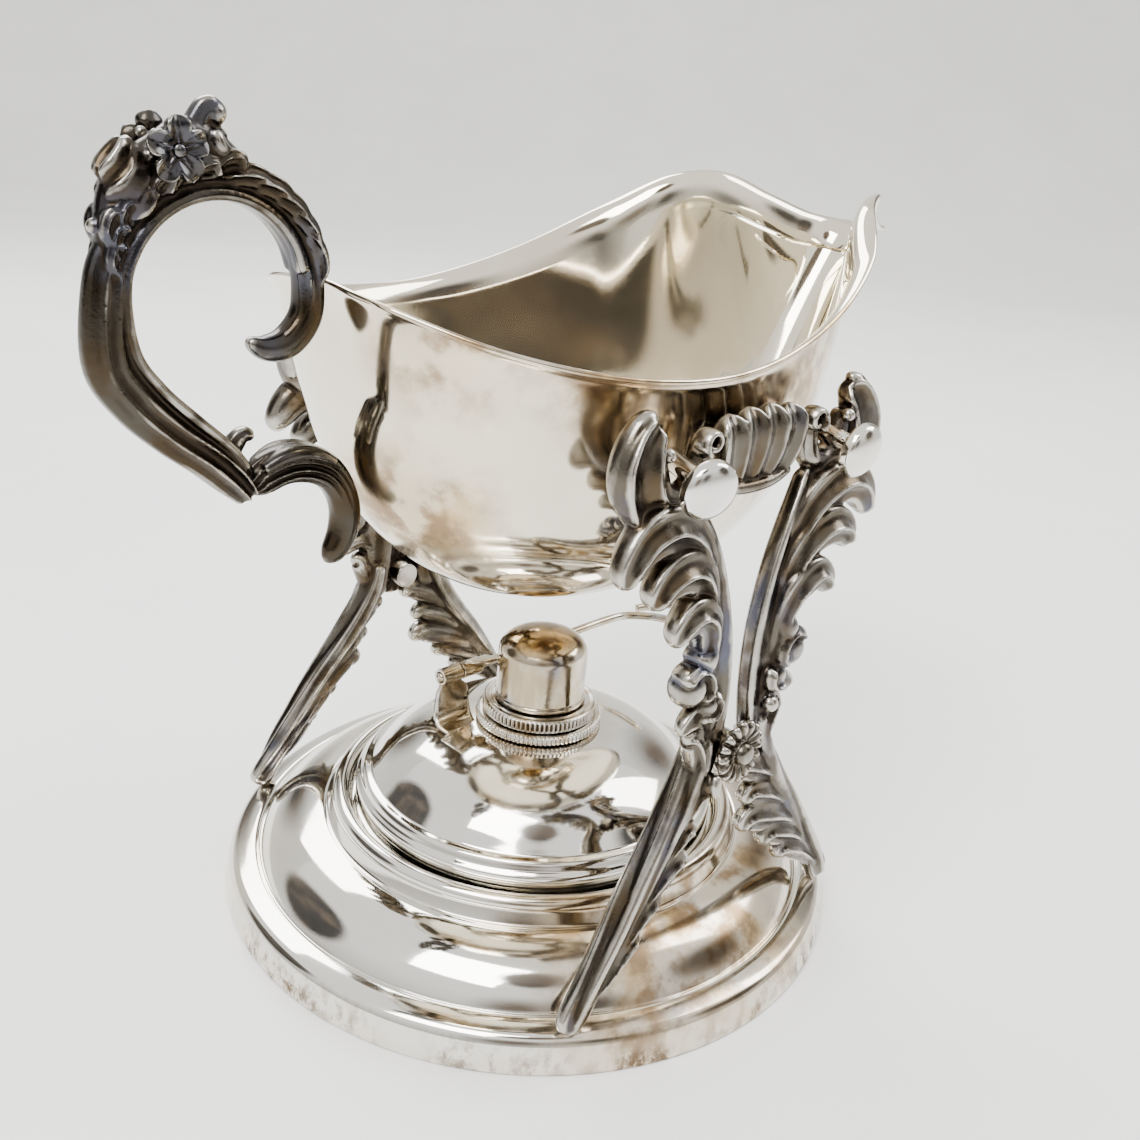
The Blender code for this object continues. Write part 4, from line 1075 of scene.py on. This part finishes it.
def handle_scroll_mesh():
    """The leafy scroll under the heel, which bends over into a smooth horn."""
    core = [(-81.4, 0, 117.4, 2.6, 2.6, 0, 1), (-78.4, 0, 120.0, 3.8, 3.4, 0, 1), (-73.4, 0, 121.6, 3.9, 3.9, 0, 1),
            (-68.0, 0, 121.0, 3.8, 4.1, 0, 1), (-63.6, 0, 118.4, 3.4, 3.8, 0, 0.7),
            (-60.7, 0, 114.2, 3.1, 3.5, 0, 0.3), (-59.5, 0, 109.6, 3.0, 3.3, 0, 0), (-60.1, 0, 105.2, 2.9, 3.1, 0, 0),
            (-62.0, 0, 101.8, 2.5, 2.6, 0, 0), (-64.2, 0, 99.4, 1.8, 1.9, 0, 0)]
    parts = [strand(core, flutes=5, groove=0.42, both=True, sides=60, tips=(1.0, 1.1))]
    parts += both_faces([(-79.6, -1.6, 121.8, 1.0, 1.6), (-74.0, -2.0, 124.0, 1.5, 2.2),
                         (-68.0, -2.0, 123.6, 1.4, 2.2), (-63.0, -1.8, 120.8, 1.0, 1.6)])
    return fused("handle_scroll_cast", parts, 0.7)


def handle_flower_mesh(name, side):
    """A five-petalled flower: a button centre and cupped petals, each with a rib."""
    parts = [ball((0.0, 0.6, 0.0), (2.2, 0.9, 2.2)), ball((0.0, 1.6, 0.0), (1.2, 0.9, 1.2))]
    petal = [(0.8, 0.5, 0.8, 0.9), (2.3, 0.9, 1.7, 1.6), (3.8, 1.2, 2.15, 1.9), (5.5, 0.9, 1.5, 1.2)]
    rib = [(1.0, 0.9, 0.25, 0.8), (4.2, 1.2, 0.2, 0.5)]

    def ray(keys, turn):
        """Keys of (reach, out, half width, half depth) along one direction."""
        return [(r * math.cos(turn), out, r * math.sin(turn), wide, deep) for r, out, wide, deep in keys]

    for i in range(PETALS):
        turn = 2 * math.pi * i / PETALS + math.pi / 2
        parts.append(strand(ray(petal, turn), cup=0.8, sides=48, tips=(0.0, 1.8)))
        parts.append(strand(ray(rib, turn), steps=12, sides=12))

    def place(x, out, z):
        return FLOWER_X + x, SIDES[side] * (FLOWER_OUT + out), FLOWER_Z + z

    return fused(name, carried(parts, place), 0.5)


# -------- assembly and studio

# Tarnish: a place, the distance to which it is full and the distance at which it ends.
BOWL_STAINS = [
    ((-60.0, -28.0, 150.0), 6.0, 24.0), ((-34.0, -48.0, 143.0), 4.0, 20.0), ((-4.0, -53.0, 143.0), 3.0, 18.0),
    ((30.0, -50.0, 146.0), 4.0, 24.0), ((-58.0, -8.0, 100.0), 12.0, 30.0), ((-58.0, -20.0, 112.0), 6.0, 24.0),
    ((22.0, -49.0, 128.0), 8.0, 30.0), ((-22.0, -49.0, 130.0), 3.0, 16.0),
]
BASE_STAINS = [((0.0, -48.0, 22.0), 20.0, 52.0), ((60.0, -30.0, 10.0), 10.0, 40.0), ((-30.0, -66.0, 9.0), 4.0, 26.0)]
NECK_STAINS = [((0.0, 0.0, 43.0), 10.0, 24.0)]
SKIRT = (2.0, 9.6)


def build_pieces():
    """Every piece, on its body, in place of its CAD node."""
    bowl_look = polished("bowl_silver", BOWL_STAINS, None, 1.0, BOWL_SILVER)
    base_look = polished("base_silver", BASE_STAINS, SKIRT, 0.6, BASE_SILVER)
    burner_look = polished("burner_silver", NECK_STAINS, None, 0.6, BURNER_SILVER)
    stud_look = polished("stud_silver", (), None, 0.5, STUD_SILVER)
    cast_look = oxidised("cast_silver", 0.4, 0.55)
    handle_look = oxidised("handle_silver", 0.8, 0.3)
    cap_look = heated("cap_silver", CAP_TOP)
    satin_look = satin("milled_silver")

    for side in SIDES:
        for end in ENDS:
            node = f"leg_{end}_{side}"
            name = node + "_cast"
            piece(name, leg_mesh(name, end, side), "stand", [node], cast_look)
            node = f"stud_{end}_{side}"
            name = node + "_turned"
            body = "front_pins" if end == "front" else "boat"
            piece(name, stud_mesh(name, end, side), body, [node], stud_look)
        for kind, make, body, look in (("shell_bridge", bridge_mesh, "stand", cast_look),
                                       ("waist_flower", waist_flower_mesh, "stand", cast_look),
                                       ("handle_flower", handle_flower_mesh, "boat", handle_look)):
            node = f"{kind}_{side}"
            name = node + "_cast"
            piece(name, make(name, side), body, [node], look)

    for name, make, body, node, slot, look in (
            ("base", base_mesh, "stand", "base_dish", "polished_silver", base_look),
            ("font", font_mesh, "burner", "font_dome", "polished_silver", burner_look),
            ("flange", flange_mesh, "burner", "neck_flange", "polished_silver", satin_look),
            ("bracket", bracket_mesh, "burner", "snuffer_bracket", "polished_silver", cap_look),
            ("collar", collar_mesh, "wick_holder", "knurled_collar", "knurled_silver", satin_look),
            ("wick_guide", tube_mesh, "wick_holder", "wick_tube", "polished_silver", burner_look),
            ("wick_cotton", wick_mesh, "wick_holder", "wick", "cotton", cotton("wick_cotton")),
            ("cap", cap_mesh, "snuffer", "snuffer_cap", "heat_tinted_silver", cap_look),
            ("strap", strap_mesh, "snuffer", "snuffer_strap", "heat_tinted_silver", cap_look),
            ("rod", rod_mesh, "snuffer", "snuffer_rod", "heat_tinted_silver", cap_look),
            ("boat_bowl", bowl_mesh, "boat", "bowl", "polished_silver", bowl_look),
            ("handle_loop", handle_mesh, "boat", "handle", "oxidised_silver", handle_look),
            ("handle_leaf", handle_scroll_mesh, "boat", "handle_scroll", "oxidised_silver", handle_look)):
        piece(name, make(), body, [node], look)
    pan = bpy.data.objects["font_pan"]
    pan.data.materials.clear()
    pan.data.materials.append(burner_look)


def staged(name, data):
    """A studio object, not a piece of the part."""
    made = bpy.data.objects.new(name, data)
    bpy.context.collection.objects.link(made)
    return made


def aimed(place, aim, axis):
    """The turn that points one axis of an object at a place."""
    return (Vector(aim) - Vector(place)).to_track_quat(axis, "Y")


# The table top, in metres: its half width, where it starts and where it curves up along the view, that curve's
# radius, and the top of the wall as (along, up). Its turn is that of the view, in degrees.
TABLE_HALF_WIDTH = 20.0
TABLE_FRONT = -20.0
TABLE_BACK = 1.1
WALL_CURVE = 0.9
WALL_TOP = (2.0, 2.4)
VIEW_TURN = -45.0


def floor():
    """A plain pale table top that curves up into a plain wall behind."""
    curve = [(TABLE_BACK + x, WALL_CURVE + z) for x, z in arc((0.0, 0.0), WALL_CURVE, -80, 0, 10)]
    drawn = [(TABLE_FRONT, 0.0), (TABLE_BACK, 0.0)] + curve + [WALL_TOP]
    turned = Matrix.Rotation(math.radians(VIEW_TURN), 4, "Z")
    points = [turned @ Vector((side * TABLE_HALF_WIDTH, along, up)) for along, up in drawn for side in (-1.0, 1.0)]
    mesh = bpy.data.meshes.new("table")
    mesh.from_pydata(points, [], [(2 * k, 2 * k + 1, 2 * k + 3, 2 * k + 2) for k in range(len(drawn) - 1)])
    mesh.shade_smooth()
    made = Shade("table_top")
    colour = made.mix(made.noise(9.0, 0.3, 0.7), rgb(0.93, 0.93, 0.915), rgb(0.89, 0.89, 0.875))
    mesh.materials.append(made.finish(colour, 0.45, 0.0))
    staged("table", mesh)


# Dark cards: place, aim, half size, all in metres, and how much of that size fades out.
CARDS = [
    ("behind", (-0.62, -0.62, 0.30), (0.0, 0.0, 0.14), 0.34, 0.9),
    ("behind_near", (-0.24, -0.74, 0.32), (0.0, 0.0, 0.14), 0.30, 0.9),
    ("above", (-0.30, -0.40, 0.74), (0.0, 0.0, 0.10), 0.19, 0.35),
    ("inside", (-0.62, 0.66, 0.40), (0.03, -0.04, 0.14), 0.36, 0.3),
    ("beside", (0.48, -0.72, 0.44), (0.02, 0.05, 0.14), 0.36, 0.6),
    ("end", (0.75, 0.10, 0.34), (0.0, 0.0, 0.12), 0.32, 0.9),
    ("far", (0.10, 0.75, 0.24), (0.0, 0.0, 0.12), 0.26, 0.9),
]
# Soft lights: place, aim and size in metres, and power in watts.
LIGHTS = [
    ("key", (-0.55, -0.15, 0.95), (0.0, 0.0, 0.08), (0.55, 0.55), 13.0),
    ("fill", (0.70, -0.30, 0.80), (0.0, 0.0, 0.08), (0.45, 0.60), 7.0),
    ("back", (0.25, 0.75, 0.75), (0.0, 0.0, 0.10), (0.70, 0.40), 9.0),
]


def dark_card(name, place, aim, half, soft):
    """A dark card that only polished silver sees. Its darkness fades out over this part of its size."""
    corners = [(-half, -half, 0), (half, -half, 0), (half, half, 0), (-half, half, 0)]
    turn = Matrix.Translation(place) @ aimed(place, aim, "Z").to_matrix().to_4x4()
    mesh = bpy.data.meshes.new(name)
    mesh.from_pydata([turn @ Vector(c) for c in corners], [], [(0, 1, 2, 3)])
    made = Shade(name)
    colour = made.mix(made.noise(2.5, 0.40, 0.60), rgb(0.020, 0.019, 0.018), rgb(0.085, 0.065, 0.05))
    shade = made.near(Vector(place) * MM - AXIS, (1.0 - soft) * half * MM, half * MM)
    made.join(shade, made.shader.inputs["Alpha"])
    mesh.materials.append(made.finish(colour, 0.8, 0.0))
    card = staged(name, mesh)
    card.visible_camera = False
    card.visible_diffuse = False
    card.visible_shadow = False


def soft_light(name, place, aim, size, power):
    """One soft rectangular light."""
    data = bpy.data.lights.new(name, "AREA")
    data.shape = "RECTANGLE"
    data.size, data.size_y = size
    data.energy = power
    lamp = staged(name, data)
    lamp.location = place
    lamp.rotation_euler = aimed(place, aim, "-Z").to_euler()


# The room's light: its colour at the horizon, and higher up at this part of the way to the zenith, and its strength.
HORIZON = rgb(0.55, 0.53, 0.49)
SKY = rgb(0.98, 0.97, 0.95)
SKY_START = 0.55
ROOM_STRENGTH = 1.45


def studio():
    """Soft light from above and both sides, in a plain pale room with a few dark cards."""
    world = bpy.data.worlds.new("room")
    bpy.context.scene.world = world
    world.use_nodes = True
    tree = world.node_tree
    background = tree.nodes["Background"]
    coords = tree.nodes.new("ShaderNodeTexCoord")
    split = tree.nodes.new("ShaderNodeSeparateXYZ")
    tree.links.new(coords.outputs["Generated"], split.inputs["Vector"])
    ramp = tree.nodes.new("ShaderNodeValToRGB")
    for element, position, colour in zip(ramp.color_ramp.elements, (0.0, SKY_START), (HORIZON, SKY)):
        element.position = position
        element.color = colour
    tree.links.new(split.outputs["Z"], ramp.inputs["Fac"])
    tree.links.new(ramp.outputs["Color"], background.inputs["Color"])
    background.inputs["Strength"].default_value = ROOM_STRENGTH
    for card in CARDS:
        dark_card(*card)
    for light in LIGHTS:
        soft_light(*light)


# The camera, fitted to the photo's view: its place in metres, where it looks, what is up, and its lens.
CAMERA_PLACE = (-0.19755, -0.1950, 0.1954)
CAMERA_FORWARD = (0.6664, 0.6435, -0.3766)
CAMERA_UP = (0.2124, 0.3204, 0.9232)
SENSOR_WIDTH = 36.0
FOCAL_LENGTH = 38.84
NEAREST = 0.02


def camera():
    """The camera, close over the handle's near side."""
    data = bpy.data.cameras.new("camera")
    data.sensor_width = SENSOR_WIDTH
    data.lens = FOCAL_LENGTH
    data.clip_start = NEAREST
    eye = bpy.data.objects.new("camera", data)
    forward = Vector(CAMERA_FORWARD)
    right = forward.cross(Vector(CAMERA_UP)).normalized()
    up = right.cross(forward).normalized()
    eye.location = CAMERA_PLACE
    eye.rotation_euler = Matrix((right, up, -forward.normalized())).transposed().to_euler()
    bpy.context.collection.objects.link(eye)
    bpy.context.scene.camera = eye


build_pieces()
floor()
studio()
camera()
